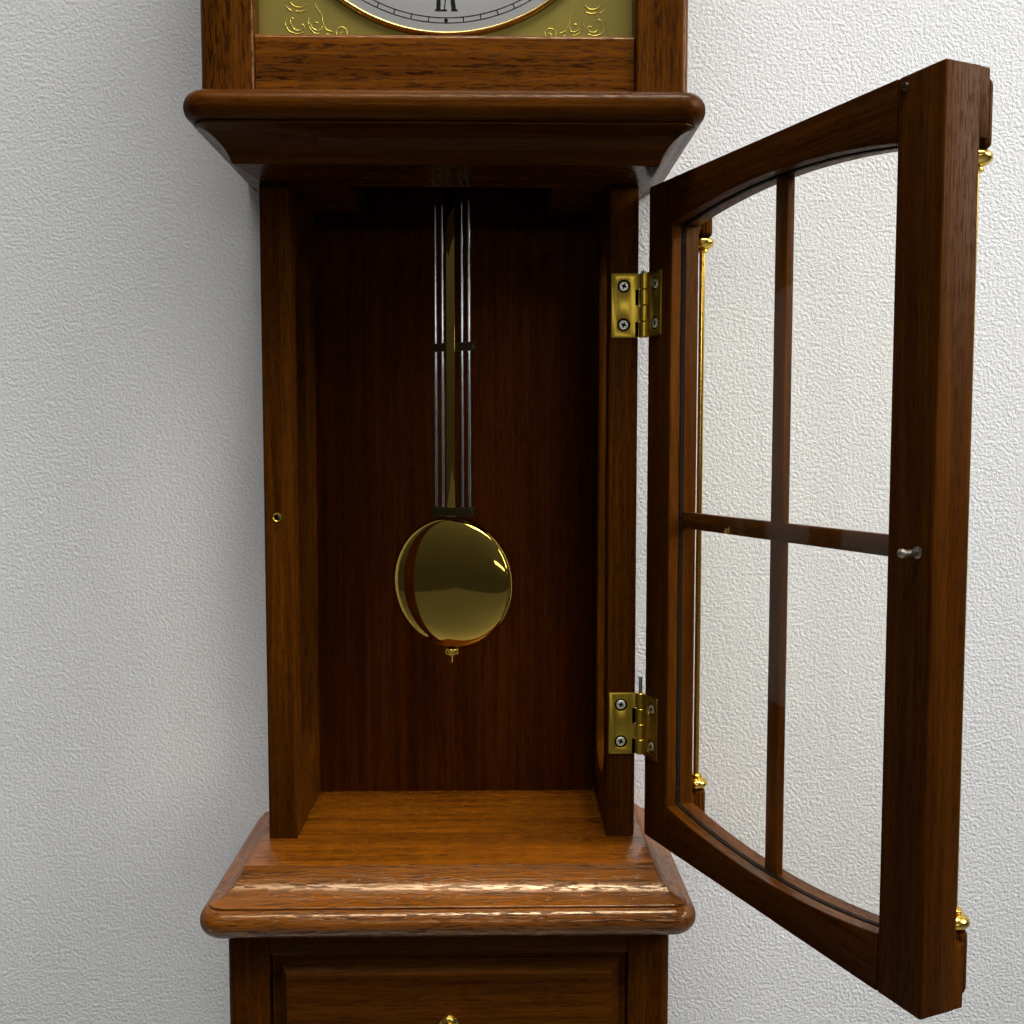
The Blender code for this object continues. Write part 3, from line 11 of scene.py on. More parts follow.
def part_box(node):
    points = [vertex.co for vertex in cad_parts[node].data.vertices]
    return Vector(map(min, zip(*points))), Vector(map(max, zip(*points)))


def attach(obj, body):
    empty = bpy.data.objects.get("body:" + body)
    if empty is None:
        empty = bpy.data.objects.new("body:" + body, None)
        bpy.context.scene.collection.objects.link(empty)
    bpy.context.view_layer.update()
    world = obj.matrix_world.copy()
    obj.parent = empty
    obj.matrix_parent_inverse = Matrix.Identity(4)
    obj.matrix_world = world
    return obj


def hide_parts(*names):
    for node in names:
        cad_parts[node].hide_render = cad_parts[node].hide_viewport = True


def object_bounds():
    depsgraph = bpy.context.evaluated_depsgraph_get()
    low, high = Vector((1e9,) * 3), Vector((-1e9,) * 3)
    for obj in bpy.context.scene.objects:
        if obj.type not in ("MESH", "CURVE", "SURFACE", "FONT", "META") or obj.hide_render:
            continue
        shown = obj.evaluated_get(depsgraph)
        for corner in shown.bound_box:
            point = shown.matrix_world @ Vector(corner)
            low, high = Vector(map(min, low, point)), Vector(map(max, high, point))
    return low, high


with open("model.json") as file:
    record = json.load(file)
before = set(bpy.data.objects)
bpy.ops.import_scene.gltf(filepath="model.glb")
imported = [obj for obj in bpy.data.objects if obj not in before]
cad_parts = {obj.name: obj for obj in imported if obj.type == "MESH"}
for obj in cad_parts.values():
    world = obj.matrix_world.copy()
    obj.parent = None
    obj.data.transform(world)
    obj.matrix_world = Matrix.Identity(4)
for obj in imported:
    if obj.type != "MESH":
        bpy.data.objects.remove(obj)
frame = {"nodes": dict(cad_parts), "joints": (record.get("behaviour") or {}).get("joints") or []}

bl_info = {
    "name": "Oak wall clock",
    "version": (1, 0, 0),
    "blender": (4, 5, 0),
    "location": "View3D > Sidebar > Clock",
    "description": "Dresses a wall clock's case, door, dial and pendulum",
    "category": "Object",
}

NODES = frame["nodes"]
CAD_BOX = [list(corner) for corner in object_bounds()]


def joint_of(name):
    return next(joint for joint in frame["joints"] if joint["name"] == name)


def about(point, angle):
    """A turn about the upright through a point."""
    return Matrix.Translation(point) @ Matrix.Rotation(angle, 4, "Z") @ Matrix.Translation(-point)


# Places that the solids give

SIDE_LOW, SIDE_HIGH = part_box("waist_side_right")
X_INSIDE, X_WAIST = SIDE_LOW.x, SIDE_HIGH.x
Y_WAIST = SIDE_LOW.y
Z_FLOOR, Z_CEILING = SIDE_LOW.z, SIDE_HIGH.z
HINGE = Vector(joint_of("door_swing")["pos_m"])
DOOR_OPEN = radians(-joint_of("door_swing")["range_deg"][0])
DOOR_TURN = about(HINGE, DOOR_OPEN)
DOOR_THICK = 0.0204
Y_DOOR = 2 * HINGE.y - Y_WAIST
Y_DOOR_FRONT = Y_DOOR - DOOR_THICK
Z_DOOR = HINGE.z
Z_DOOR_FOOT, Z_DOOR_TOP = (corner.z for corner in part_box("door_stile_latch"))
CATCH_X = -0.110
PIVOT = Vector(joint_of("pendulum_swing")["pos_m"])
PENDULUM_TURN = about(PIVOT, radians(-24))
STRIP_FORWARD = 0.0024
BOB_LOW, BOB_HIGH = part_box("pendulum_bob")
BOB_RADIUS = (BOB_HIGH.z - BOB_LOW.z) / 2
BOB = Vector((0, PIVOT.y - STRIP_FORWARD, (BOB_LOW.z + BOB_HIGH.z) / 2))
DIAL_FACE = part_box("chapter_disc")[0].y
DIAL_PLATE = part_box("dial_plate")[0].y
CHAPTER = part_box("chapter_disc")[1].x
FIT = 0.0003
SIDES = (("left", -1), ("right", 1))


# Settings

def length(name, description, default, low, high):
    return FloatProperty(name=name, description=description, default=default, min=low, max=high,
                         unit="LENGTH")


def count(name, description, default, low, high):
    return IntProperty(name=name, description=description, default=default, min=low, max=high)


def colour(name, description, default):
    return FloatVectorProperty(name=name, description=description, default=default, min=0, max=1,
                               subtype="COLOR")


class ClockSizes(bpy.types.PropertyGroup):
    """Sizes of the finish that a maker would change."""
    eased_edge: length("Eased edge", "Rounding of the boards' arrises", 0.0011, 0.0002, 0.004)
    numeral_height: length("Numeral height", "Height of the hour numerals", 0.0215, 0.005, 0.03)
    numeral_end: length("Numeral end", "Radius of the numerals' outer ends", 0.0908, 0.03, 0.1)
    track_inner: length("Track inside", "Radius of the minute track's inner line", 0.0945, 0.03, 0.1)
    track_outer: length("Track outside", "Radius of the minute track's outer line", 0.0974, 0.03, 0.1)
    screw_head: length("Screw head", "Radius of a hinge screw's head", 0.0030, 0.001, 0.006)
    reeds: count("Reeds", "Reeds round each column block", 14, 6, 40)
    knurls: count("Knurls", "Ridges round the rating nut", 30, 8, 60)


class ClockColours(bpy.types.PropertyGroup):
    """Colours of the woods, metals and dial."""
    oak_light: colour("Oak, light", "Summer wood", (0.098, 0.0285, 0.0016))
    oak_dark: colour("Oak, dark", "Winter wood", (0.038, 0.0100, 0.0006))
    oak_pore: colour("Oak, pores", "Stain in the open pores", (0.008, 0.0020, 0.0002))
    brass: colour("Brass", "Lacquered brass", (0.76, 0.51, 0.10))
    dial_brass: colour("Dial brass", "Brushed dial plate", (0.29, 0.225, 0.046))
    silver: colour("Silvering", "Silvered chapter disc", (0.33, 0.325, 0.31))
    steel: colour("Steel", "Drawn rods and screws", (0.50, 0.51, 0.52))
    bronze: colour("Dark bronze", "Pendulum bars", (0.06, 0.045, 0.02))
    wall: colour("Wall", "Pale wall and floor of the stage", (0.80, 0.80, 0.795))


# Node trees

class Tree:
    """A node tree under construction."""

    def __init__(self, tree):
        self.tree = tree

    def fill(self, socket, value):
        """Link an input to another node's output, or set it."""
        if isinstance(value, bpy.types.NodeSocket):
            self.tree.links.new(value, socket)
        elif socket.type == "RGBA":
            socket.default_value = (*value, 1.0)
        else:
            socket.default_value = value

    def feed(self, node, **sockets):
        for key, value in sockets.items():
            name = key.replace("_", " ")
            self.fill(next(s for s in node.inputs if s.name == name and s.enabled), value)

    def add(self, kind, settings=None, **sockets):
        node = self.tree.nodes.new(kind)
        for key, value in (settings or {}).items():
            setattr(node, key, value)
        self.feed(node, **sockets)
        return node

    def fill_all(self, node, *values):
        """Fill the inputs in use in their order, and give the node's result."""
        for socket, value in zip([s for s in node.inputs if s.enabled], values):
            self.fill(socket, value)
        return next(s for s in node.outputs if s.enabled)

    def math(self, operation, *values):
        return self.fill_all(self.add("ShaderNodeMath", {"operation": operation}), *values)

    def sum(self, first, second):
        return self.math("ADD", first, second)

    def times(self, first, second):
        return self.math("MULTIPLY", first, second)

    def span(self, value, low, high, to_low=0.0, to_high=1.0):
        node = self.add("ShaderNodeMapRange", Value=value, From_Min=low, From_Max=high, To_Min=to_low,
                        To_Max=to_high)
        return node.outputs["Result"]


class Recipe(Tree):
    """A node material under construction."""

    def __init__(self, name):
        self.material = bpy.data.materials.new(name)
        self.material.use_nodes = True
        super().__init__(self.material.node_tree)
        self.shader = self.tree.nodes["Principled BSDF"]
        self.output = self.tree.nodes["Material Output"]

    def set(self, **sockets):
        self.feed(self.shader, **sockets)

    def coords(self, scale, turn=(0, 0, 0)):
        """Object coordinates, first turned and then stretched."""
        place = self.add("ShaderNodeTexCoord").outputs["Object"]
        turned_place = self.add("ShaderNodeMapping", Vector=place, Rotation=turn).outputs["Vector"]
        return self.add("ShaderNodeMapping", Vector=turned_place, Scale=scale).outputs["Vector"]

    def noise(self, vector, detail=3.0, roughness=0.55, distortion=0.0):
        node = self.add("ShaderNodeTexNoise", Vector=vector, Scale=1.0, Detail=detail, Roughness=roughness,
                        Distortion=distortion)
        return node.outputs["Fac"]

    def steps(self, factor, stops):
        """A ramp through (place, colour) stops."""
        node = self.add("ShaderNodeValToRGB", Fac=factor)
        elements = node.color_ramp.elements
        while len(elements) < len(stops):
            elements.new(0.5)
        for element, (place, shade) in zip(elements, stops):
            element.position = place
            element.color = (*shade, 1.0)
        return node.outputs["Color"]

    def mix(self, factor, first, second):
        return self.fill_all(self.add("ShaderNodeMix", {"data_type": "RGBA"}), factor, first, second)

    def along(self, axis, turn):
        """How squarely the surface faces along an axis, after a turn about the upright."""
        facing = self.add("ShaderNodeTexCoord").outputs["Normal"]
        product = self.add("ShaderNodeVectorMath", {"operation": "DOT_PRODUCT"})
        direction = Matrix.Rotation(turn, 3, "Z") @ Vector(axis)
        return self.math("ABSOLUTE", self.fill_all(product, facing, direction))

    def relief(self, height, strength, distance):
        bump = self.add("ShaderNodeBump", Height=height, Strength=strength, Distance=distance)
        self.set(Normal=bump.outputs["Normal"])

    def clear_by(self, factor, through=(1, 1, 1)):
        """Let the surface turn transparent by a factor."""
        clear = self.add("ShaderNodeBsdfTransparent", Color=through).outputs["BSDF"]
        both = self.fill_all(self.add("ShaderNodeMixShader"), factor, self.shader.outputs["BSDF"], clear)
        self.feed(self.output, Surface=both)


# Finishes

FINISHES = {}
GRAIN_ALONG = {"X": (1, 0, 0), "Y": (0, 1, 0), "Z": (0, 0, 1)}
WARM_SHEEN = (1.0, 0.68, 0.34)


def tint(weights, base):
    """A colour with its red, green and blue weighted."""
    return tuple(weight * part for weight, part in zip(weights, base))


def oak(name, along, turn=0.0, tone=(1.0, 1.0, 1.0), gloss=0.36, shift=0.0, depth=0.16, shine=0.05,
        open_grain=0.38, sheen=WARM_SHEEN):
    """Stained oak whose grain runs along an axis, after a turn about the upright."""
    colours = bpy.context.scene.clock_colours
    recipe = Recipe(name)

    def grain(long, wide, detail, roughness, distortion):
        scale = [1 / long if axis else 1 / wide for axis in GRAIN_ALONG[along]]
        return recipe.noise(recipe.coords(scale, (0, 0, -turn)), detail, roughness, distortion)

    light = tint(tone, colours.oak_light)
    dark = tint(tone, colours.oak_dark)
    between = tuple(0.5 * (a + b) for a, b in zip(light, dark))
    broad = grain(0.60, 0.040, 3.0, 0.5, 0.8)
    bands = grain(0.22, 0.0050, 3.0, 0.6, 0.5)
    fine = grain(0.040, 0.0013, 2.0, 0.6, 0.2)
    pores = grain(0.0090, 0.00095, 2.0, 0.6, 0.0)
    growth = recipe.sum(recipe.sum(recipe.times(bands, 0.60), recipe.times(broad, 0.40)), shift)
    wood = recipe.steps(growth, ((0.36, dark), (0.50, between), (0.64, light)))
    wood = recipe.mix(recipe.span(fine, 0.42, 0.66, 0.0, 0.62), wood, dark)
    open_pore = recipe.span(pores, 0.515, 0.575)
    stain = recipe.times(open_pore, recipe.span(bands, 0.36, 0.60, open_grain, 0.5 * open_grain))
    wood = recipe.mix(stain, wood, tint(tone, colours.oak_pore))
    end = recipe.span(recipe.along(GRAIN_ALONG[along], turn), 0.45, 0.90)
    polish = recipe.span(recipe.sum(bands, open_pore), 0.3, 1.6, gloss, gloss + 0.20)
    gleam = recipe.span(end, 0.0, 1.0, shine, 0.12 * shine)
    recipe.set(Base_Color=recipe.mix(recipe.times(end, 0.75), wood, dark),
               Roughness=recipe.sum(polish, recipe.times(end, 0.34)),
               Specular_IOR_Level=recipe.times(gleam, recipe.span(stain, 0.0, 1.0, 1.0, 0.1)),
               Specular_Tint=sheen)
    recipe.relief(recipe.math("SUBTRACT", recipe.times(bands, 0.30), stain), depth, 0.00025)
    return recipe.material


def metal(name, base, roughness, grain=(0.004, 0.004, 0.004), depth=0.0, spread=0.08, tarnish=0.12,
          metallic=1.0):
    """Metal with a faint run of working marks and of tarnish."""
    recipe = Recipe(name)
    marks = recipe.noise(recipe.coords([1 / g for g in grain]), 3.0, 0.6)
    cloud = recipe.noise(recipe.coords((45, 45, 45)), 4.0, 0.6)
    dull = tint((0.62, 0.62, 0.62), base)
    recipe.set(Base_Color=recipe.mix(recipe.span(cloud, 0.45, 0.75, 0.0, tarnish * 3), base, dull),
               Roughness=recipe.span(recipe.sum(marks, cloud), 0.6, 1.4, roughness, roughness + spread),
               Metallic=metallic)
    if depth:
        recipe.relief(marks, 0.3, depth)
    return recipe.material


def clear_glass():
    """Thin window glass that lamps shine through."""
    recipe = Recipe("clear_glass")
    ripple = recipe.noise(recipe.coords((14, 14, 14)), 1.0)
    # The warm tint is partly the glass's own and partly painted light, for the warm bounce on the wall seen
    # through it.
    recipe.set(Base_Color=(0.985, 0.98, 0.94), Roughness=0.0, IOR=1.22, Transmission_Weight=1.0)
    recipe.relief(ripple, 0.03, 0.0005)
    recipe.clear_by(recipe.add("ShaderNodeLightPath").outputs["Is Shadow Ray"], (0.965, 0.96, 0.92))
    return recipe.material


def painted(name, base, roughness, shine=0.5):
    """Ink, blacking or painted shade, with a little unevenness."""
    recipe = Recipe(name)
    cloud = recipe.noise(recipe.coords((260, 260, 260)))
    pale = tuple(1.25 * part + 0.004 for part in base)
    recipe.set(Base_Color=recipe.mix(cloud, base, pale),
               Roughness=recipe.span(cloud, 0.3, 0.7, roughness, roughness + 0.12),
               Specular_IOR_Level=shine)
    return recipe.material


def mix_finishes():
    """Every finish the clock uses, by its plain name."""
    colours = bpy.context.scene.clock_colours
    grit = (0.002, 0.002, 0.002)
    FINISHES.update(
        oak_up=oak("oak_upright_grain", "Z", open_grain=0.55),
        oak_across=oak("oak_cross_grain", "X", gloss=0.28, shine=0.12, open_grain=0.45),
        # The hood rail, hood stiles and plinth take lighter tones of the same oak: partly painted light, for
        # the light from above that they catch while the waist lies in the hood's shadow.
        oak_rail=oak("oak_hood_rail_grain", "X", 0, (2.15, 2.15, 2.15), 0.20, shine=0.3, open_grain=0.9),
        oak_hood=oak("oak_hood_stile_grain", "Z", 0, (1.25, 1.25, 1.25), 0.22, shine=0.2, open_grain=0.9),
        oak_board=oak("oak_hood_board_grain", "X", gloss=0.16, depth=0.30, shine=0.09),
        oak_plinth=oak("oak_plinth_grain", "X", 0, (2.15, 2.05, 1.2), 0.16, 0.04, 0.45, 0.8, 0.9,
                       (1.0, 0.76, 0.48)),
        oak_deep=oak("oak_front_to_back", "Y"),
        oak_door=oak("oak_door_rail_grain", "X", DOOR_OPEN),
        oak_stile=oak("oak_door_stile_grain", "Z", DOOR_OPEN),
        oak_inside=oak("oak_back_grain", "Z", 0, (0.62, 0.44, 0.25), 0.45, -0.02),
        oak_tray=oak("oak_tray_grain", "X", 0, (1.2, 1.2, 1.2), 0.5),
        brass=metal("lacquered_brass", colours.brass, 0.14, depth=0.00001),
        bezel_brass=metal("bezel_brass", tint((0.72, 0.82, 1.6), colours.brass), 0.10),
        # Painted shade: the bob and strip take brass at 0.6 of its colour, for the dark room they reflect.
        bob_brass=metal("bob_brass", tint((0.6, 0.6, 0.6), colours.brass), 0.04, spread=0.02, tarnish=0.05),
        # Hinge brass is greener and darker: partly tarnish, partly painted shade for the dark case round it
        # that the leaves reflect.
        hinge_brass=metal("hinge_brass", tint((0.62, 0.62, 0.38), colours.brass), 0.28,
                          (0.0012, 0.0012, 0.02), 0.00003, tarnish=0.3),
        dial_brass=metal("brushed_dial_brass", colours.dial_brass, 0.36, (0.0007, 0.05, 0.05), 0.00002, 0.12,
                         metallic=0.7),
        # Painted highlight: the scroll lines are brass 2.6 times paler than the plate, for the light their
        # engraved cuts catch.
        scroll_brass=metal("engraved_scroll", tint((2.6, 2.6, 2.6), colours.dial_brass), 0.3, tarnish=0.05),
        silver=metal("silvered_disc", colours.silver, 0.42, (0.03, 0.03, 0.0008), 0.00001, 0.1, 0.06, 0.6),
        steel=metal("drawn_steel", colours.steel, 0.12, (0.0006, 0.0006, 0.03), 0.00001),
        zinc=metal("zinc_screws", tint((1.6, 1.6, 1.35), colours.steel), 0.40, grit, 0.00002, tarnish=0.15),
        pewter=metal("pewter_stud", (0.27, 0.235, 0.19), 0.42, grit, 0.00002, tarnish=0.3),
        bronze=metal("dark_bronze", colours.bronze, 0.36, depth=0.00001),
        ink=painted("dial_ink", (0.006, 0.006, 0.007), 0.6, 0.08),
        black=painted("blackened_hands", (0.014, 0.014, 0.016), 0.28),
        # Painted shade: a near-black for the shadowed groove round the door glass and under and in the screw
        # heads.
        shade=painted("dark_recess", (0.005, 0.003, 0.002), 0.8, 0.03),
        glass=clear_glass(),
    )


# Making

SHARP = radians(38)
WELD = 1e-6
THROUGH = 0.01
SPREAD = {
    "XZ": lambda a, b, d: (a, d, b),
    "XY": lambda a, b, d: (a, b, d),
    "YZ": lambda a, b, d: (d, a, b),
}
UPRIGHT = Matrix.Identity(3)
FORWARD = Matrix.Rotation(radians(-90), 3, "X")


def show(name, data):
    """Put a mesh, curve, lamp or camera into the scene."""
    thing = bpy.data.objects.new(name, data)
    bpy.context.scene.collection.objects.link(thing)
    return thing


def drop(*things):
    for thing in things:
        bpy.data.objects.remove(thing, do_unlink=True)


def evaluated(thing):
    """The mesh that an object's modifiers or curves make."""
    deps = bpy.context.evaluated_depsgraph_get()
    return bpy.data.meshes.new_from_object(thing.evaluated_get(deps))


def smooth(mesh):
    mesh.shade_smooth()
    mesh.set_sharp_from_angle(angle=SHARP)


def shaped(name, bm, materials, turn=None):
    """A piece from a bmesh, smooth apart from its sharp edges."""
    mesh = bpy.data.meshes.new(name)
    bm.to_mesh(mesh)
    bm.free()
    if turn is not None:
        mesh.transform(turn)
    for material in materials:
        mesh.materials.append(material)
    smooth(mesh)
    return show(name, mesh)


def put(name, bm, finish, turn=None):
    """Make a piece from a bmesh, with its faces outwards."""
    bmesh.ops.recalc_face_normals(bm, faces=bm.faces)
    return shaped(name, bm, [FINISHES[finish]], turn)


def settle(piece):
    """Turn a piece's modifiers into its mesh, without faces that have no area."""
    mesh = evaluated(piece)
    bm = bmesh.new()
    bm.from_mesh(mesh)
    bmesh.ops.dissolve_degenerate(bm, dist=WELD, edges=bm.edges)
    bm.to_mesh(mesh)
    bm.free()
    old = piece.data
    piece.modifiers.clear()
    piece.data = mesh
    bpy.data.meshes.remove(old)
    smooth(mesh)
    return piece


def ease(piece, width=None, segments=3, angle=40.0):
    """Round a piece's sharp edges."""
    change = piece.modifiers.new("eased", "BEVEL")
    change.width = width or bpy.context.scene.clock_sizes.eased_edge
    change.segments = segments
    change.limit_method = "ANGLE"
    change.angle_limit = radians(angle)
    change.use_clamp_overlap = True
    return settle(piece)


def carve(piece, *cutters):
    """Cut the cutters' shapes out of a piece."""
    for cutter in cutters:
        change = piece.modifiers.new("carved", "BOOLEAN")
        change.object = cutter
        change.operation = "DIFFERENCE"
        change.solver = "EXACT"
    settle(piece)
    drop(*cutters)
    return piece


def merge(name, pieces):
    """Lay several meshes together as one piece, with the first one's finish."""
    bm = bmesh.new()
    for piece in pieces:
        bm.from_mesh(piece.data)
    made = shaped(name, bm, pieces[0].data.materials)
    drop(*pieces)
    return made


def carry(piece, body, slot, *nodes):
    """Let a piece ride on its body in place of the named solids."""
    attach(piece, body)
    if nodes:
        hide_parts(*nodes)


def coat(finish, *nodes):
    """Give solids that keep their shape their finish."""
    for node in nodes:
        mesh = NODES[node].data
        mesh.materials.clear()
        mesh.materials.append(FINISHES[finish])


def box(name, low, high, finish, turn=None):
    bm = bmesh.new()
    bmesh.ops.create_cube(bm, size=1.0)
    low, high = Vector(low), Vector(high)
    bmesh.ops.scale(bm, vec=high - low, verts=bm.verts)
    bmesh.ops.translate(bm, vec=(low + high) / 2, verts=bm.verts)
    return put(name, bm, finish, turn)


def add_prism(bm, outline, plane, low, high):
    spread = SPREAD[plane]
    face = bm.faces.new([bm.verts.new(spread(a, b, low)) for a, b in outline])
    grown = bmesh.ops.extrude_face_region(bm, geom=[face])
    moved = [item for item in grown["geom"] if isinstance(item, bmesh.types.BMVert)]
    bmesh.ops.translate(bm, vec=spread(0, 0, high - low), verts=moved)


def prism(name, outline, plane, low, high, finish, turn=None):
    bm = bmesh.new()
    add_prism(bm, outline, plane, low, high)
    return put(name, bm, finish, turn)


def turned(name, profile, centre, steps, finish, axis=UPRIGHT, ring=False, turn=None):
    """Spin a profile of (radius, height) points round an axis through centre."""
    bm = bmesh.new()
    verts = [bm.verts.new((radius, 0, height)) for radius, height in profile]
    pairs = zip(verts, verts[1:] + verts[:1]) if ring else zip(verts, verts[1:])
    edges = [bm.edges.new(pair) for pair in pairs]
    bmesh.ops.spin(bm, geom=verts + edges, cent=(0, 0, 0), axis=(0, 0, 1), dvec=(0, 0, 0), angle=tau,
                   steps=steps, use_duplicate=False)
    bmesh.ops.remove_doubles(bm, verts=bm.verts, dist=WELD)
    bmesh.ops.rotate(bm, cent=(0, 0, 0), matrix=axis, verts=bm.verts)
    bmesh.ops.translate(bm, vec=centre, verts=bm.verts)
    return put(name, bm, finish, turn)


def cylinder(radius, low, high, edge=0.0):
    """Profile of a rod with chamfered ends."""
    return [(0, high), (radius - edge, high), (radius, high - edge), (radius, low + edge),
            (radius - edge, low), (0, low)]


def sleeve(bore, end, radius, edge, low, high):
    """Closed profile of a bored drum with chamfered ends."""
    return [(bore, high), (end, high), (radius, high - edge), (radius, low + edge), (end, low), (bore, low)]


def arc(centre, radius, start, end, steps, rise=None):
    """Points along an arc, or along an ellipse whose rise isn't its radius."""
    rise = radius if rise is None else rise
    turns = [radians(start + (end - start) * i / steps) for i in range(steps + 1)]
    return [(centre[0] + radius * cos(t), centre[1] + rise * sin(t)) for t in turns]


def rounded_rectangle(a0, a1, b0, b1, radius, steps=10):
    points = arc((a1 - radius, b1 - radius), radius, 0, 90, steps)
    points += arc((a0 + radius, b1 - radius), radius, 90, 180, steps)
    points += arc((a0 + radius, b0 + radius), radius, 180, 270, steps)
    return points + arc((a1 - radius, b0 + radius), radius, 270, 360, steps)


def lofted(name, rings, finish, turn=None, hollow=False):
    """Skin closed rings of equal length and cap both ends, or join the last ring to the first."""
    bm = bmesh.new()
    rows = [[bm.verts.new(point) for point in ring] for ring in rings]
    for lower, upper in zip(rows, rows[1:] + rows[:1] if hollow else rows[1:]):
        for i in range(len(lower)):
            j = (i + 1) % len(lower)
            bm.faces.new((lower[i], lower[j], upper[j], upper[i]))
    if not hollow:
        bm.faces.new(rows[0])
        bm.faces.new(rows[-1])
    bmesh.ops.remove_doubles(bm, verts=bm.verts, dist=WELD)
    return put(name, bm, finish, turn)


# Repeats

class Repeat(Tree):
    """A geometry tree that sets a template on points, with named inputs given as (kind, value)."""

    def __init__(self, name, **inputs):
        super().__init__(bpy.data.node_groups.new(name, "GeometryNodeTree"))
        new_socket = self.tree.interface.new_socket
        for way in ("INPUT", "OUTPUT"):
            new_socket("Geometry", in_out=way, socket_type="NodeSocketGeometry")
        self.values = {}
        for label, (kind, value) in inputs.items():
            socket = new_socket(label, in_out="INPUT", socket_type="NodeSocket" + kind)
            self.values[socket.identifier] = value
        self.start = self.add("NodeGroupInput").outputs

    def scatter(self, points, rotation, finish):
        """Set the template on the points, realize the copies and give them their finish."""
        info = self.add("GeometryNodeObjectInfo", Object=self.start["Template"])
        copies = self.add("GeometryNodeInstanceOnPoints", Points=points, Instance=info.outputs["Geometry"],
                          Rotation=rotation)
        real = self.add("GeometryNodeRealizeInstances", Geometry=copies.outputs["Instances"])
        dress = self.add("GeometryNodeSetMaterial", Geometry=real.outputs["Geometry"],
                         Material=FINISHES[finish])
        self.add("NodeGroupOutput", Geometry=dress.outputs["Geometry"])

    def run(self, name, places, turn):
        """Evaluate the tree on a host with a point at each place, and keep the result as a plain piece."""
        mesh = bpy.data.meshes.new(name)
        mesh.from_pydata(places, [], [])
        piece = show(name, mesh)
        change = piece.modifiers.new("repeat", "NODES")
        change.node_group = self.tree
        for key, value in self.values.items():
            change[key] = value
        settle(piece)
        if turn is not None:
            piece.data.transform(turn)
        return piece


def ring_of(name, template, number, radius, finish, turn):
    """A template set round a circle, its own +Y outwards, and the whole then turned into place."""
    tree = Repeat(name, Count=("Int", number), Radius=("Float", radius), Template=("Object", template))
    circle = tree.add("GeometryNodeMeshCircle", Vertices=tree.start["Count"], Radius=tree.start["Radius"])
    index = tree.add("GeometryNodeInputIndex").outputs["Index"]
    angle = tree.math("MULTIPLY_ADD", index, tree.math("DIVIDE", tau, tree.start["Count"]), -pi / 2)
    facing = tree.add("ShaderNodeCombineXYZ", Z=angle).outputs["Vector"]
    tree.scatter(circle.outputs["Mesh"], facing, finish)
    piece = tree.run(name, [], turn)
    drop(template)
    return piece


def set_at(name, template, places, facing, finish, turn=None):
    """A template set at each place, turned the same way."""
    tree = Repeat(name, Template=("Object", template), Facing=("Vector", facing))
    tree.scatter(tree.start["Geometry"], tree.start["Facing"], finish)
    piece = tree.run(name, places, turn)
    drop(template)
    return piece


# Moulded boards

COVE_WIDTH, COVE_HEIGHT = 0.0172, 0.019
COVE_START, COVE_END = radians(12), radians(78)
NOSE_REACH, NOSE_HEIGHT = 0.007, 0.0175
NOSE_CORNER, LEAST_CORNER = 0.016, 0.0009
QUIRK, ARRIS = 0.0012, 0.0006
FOOT_HEIGHT = 0.018
BACK_REBATE = -0.0073
PENDULUM_SLOT = (0.065, PIVOT.y - 0.022)


def round_nose(start, reach, height):
    return arc((reach, start + height / 2), reach, 90, 270, 18, -height / 2)


def cove_and_nose(steps=16):
    """The moulding as (inset from the nose, distance from the flat face)."""
    lip = NOSE_REACH - QUIRK
    width = COVE_WIDTH + QUIRK
    height = COVE_HEIGHT - QUIRK
    points = [(lip + width + ARRIS, 0), (lip + width + 0.3 * ARRIS, 0.3 * ARRIS)]
    for i in range(1, steps + 1):
        t = COVE_START + (COVE_END - COVE_START) * i / steps
        across = (cos(COVE_START) - cos(t)) / (cos(COVE_START) - cos(COVE_END))
        down = (sin(t) - sin(COVE_START)) / (sin(COVE_END) - sin(COVE_START))
        points.append((lip + width * (1 - across), height * down))
    points += [(lip - 0.0002, height + 0.0002), (lip - 0.0002, COVE_HEIGHT - 0.0002),
               (lip + 0.0003, COVE_HEIGHT)]
    return points + round_nose(COVE_HEIGHT, NOSE_REACH + QUIRK, NOSE_HEIGHT)


def board_plan(half, front, radius, notch, slot):
    """A board from above, with a notch for the back board and a slot in front of it if asked for."""
    plan = [(-half, 0)]
    plan += arc((-half + radius, front + radius), radius, 180, 270, 10)
    plan += arc((half - radius, front + radius), radius, 270, 360, 10)
    plan.append((half, 0))
    if notch:
        plan = [(-X_INSIDE, BACK_REBATE), (-X_INSIDE, 0)] + plan + [(X_INSIDE, 0), (X_INSIDE, BACK_REBATE)]
    if slot:
        reach, deep = slot
        plan += [(reach, BACK_REBATE), (reach, deep), (-reach, deep), (-reach, BACK_REBATE)]
    return plan


def moulded_board(node, profile, way, finish, notch=False, slot=None):
    """A board with its moulding run round the front and both sides."""
    low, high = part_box(node)
    flat = high.z if way < 0 else low.z
    rings = []
    for inset, rise in profile:
        plan = board_plan(high.x - inset, low.y + inset, max(NOSE_CORNER - inset, LEAST_CORNER), notch, slot)
        rings.append([(x, y, flat + way * rise) for x, y in plan])
    carry(lofted(node + "_moulded", rings, finish), "case", "oak", node)


class CLOCK_OT_boards(bpy.types.Operator):
    """Run the mouldings of the cornice, hood, plinth and foot boards"""
    bl_idname = "clock.boards"
    bl_label = "Moulded boards"

    def execute(self, context):
        moulding = cove_and_nose()
        moulded_board("plinth_board", moulding, -1, "oak_plinth", True)
        moulded_board("hood_board", moulding, 1, "oak_board", True, PENDULUM_SLOT)
        moulded_board("cornice_board", moulding, 1, "oak_board")
        moulded_board("foot_board", round_nose(0, NOSE_REACH, FOOT_HEIGHT), -1, "oak_board")
        return {"FINISHED"}


# Case

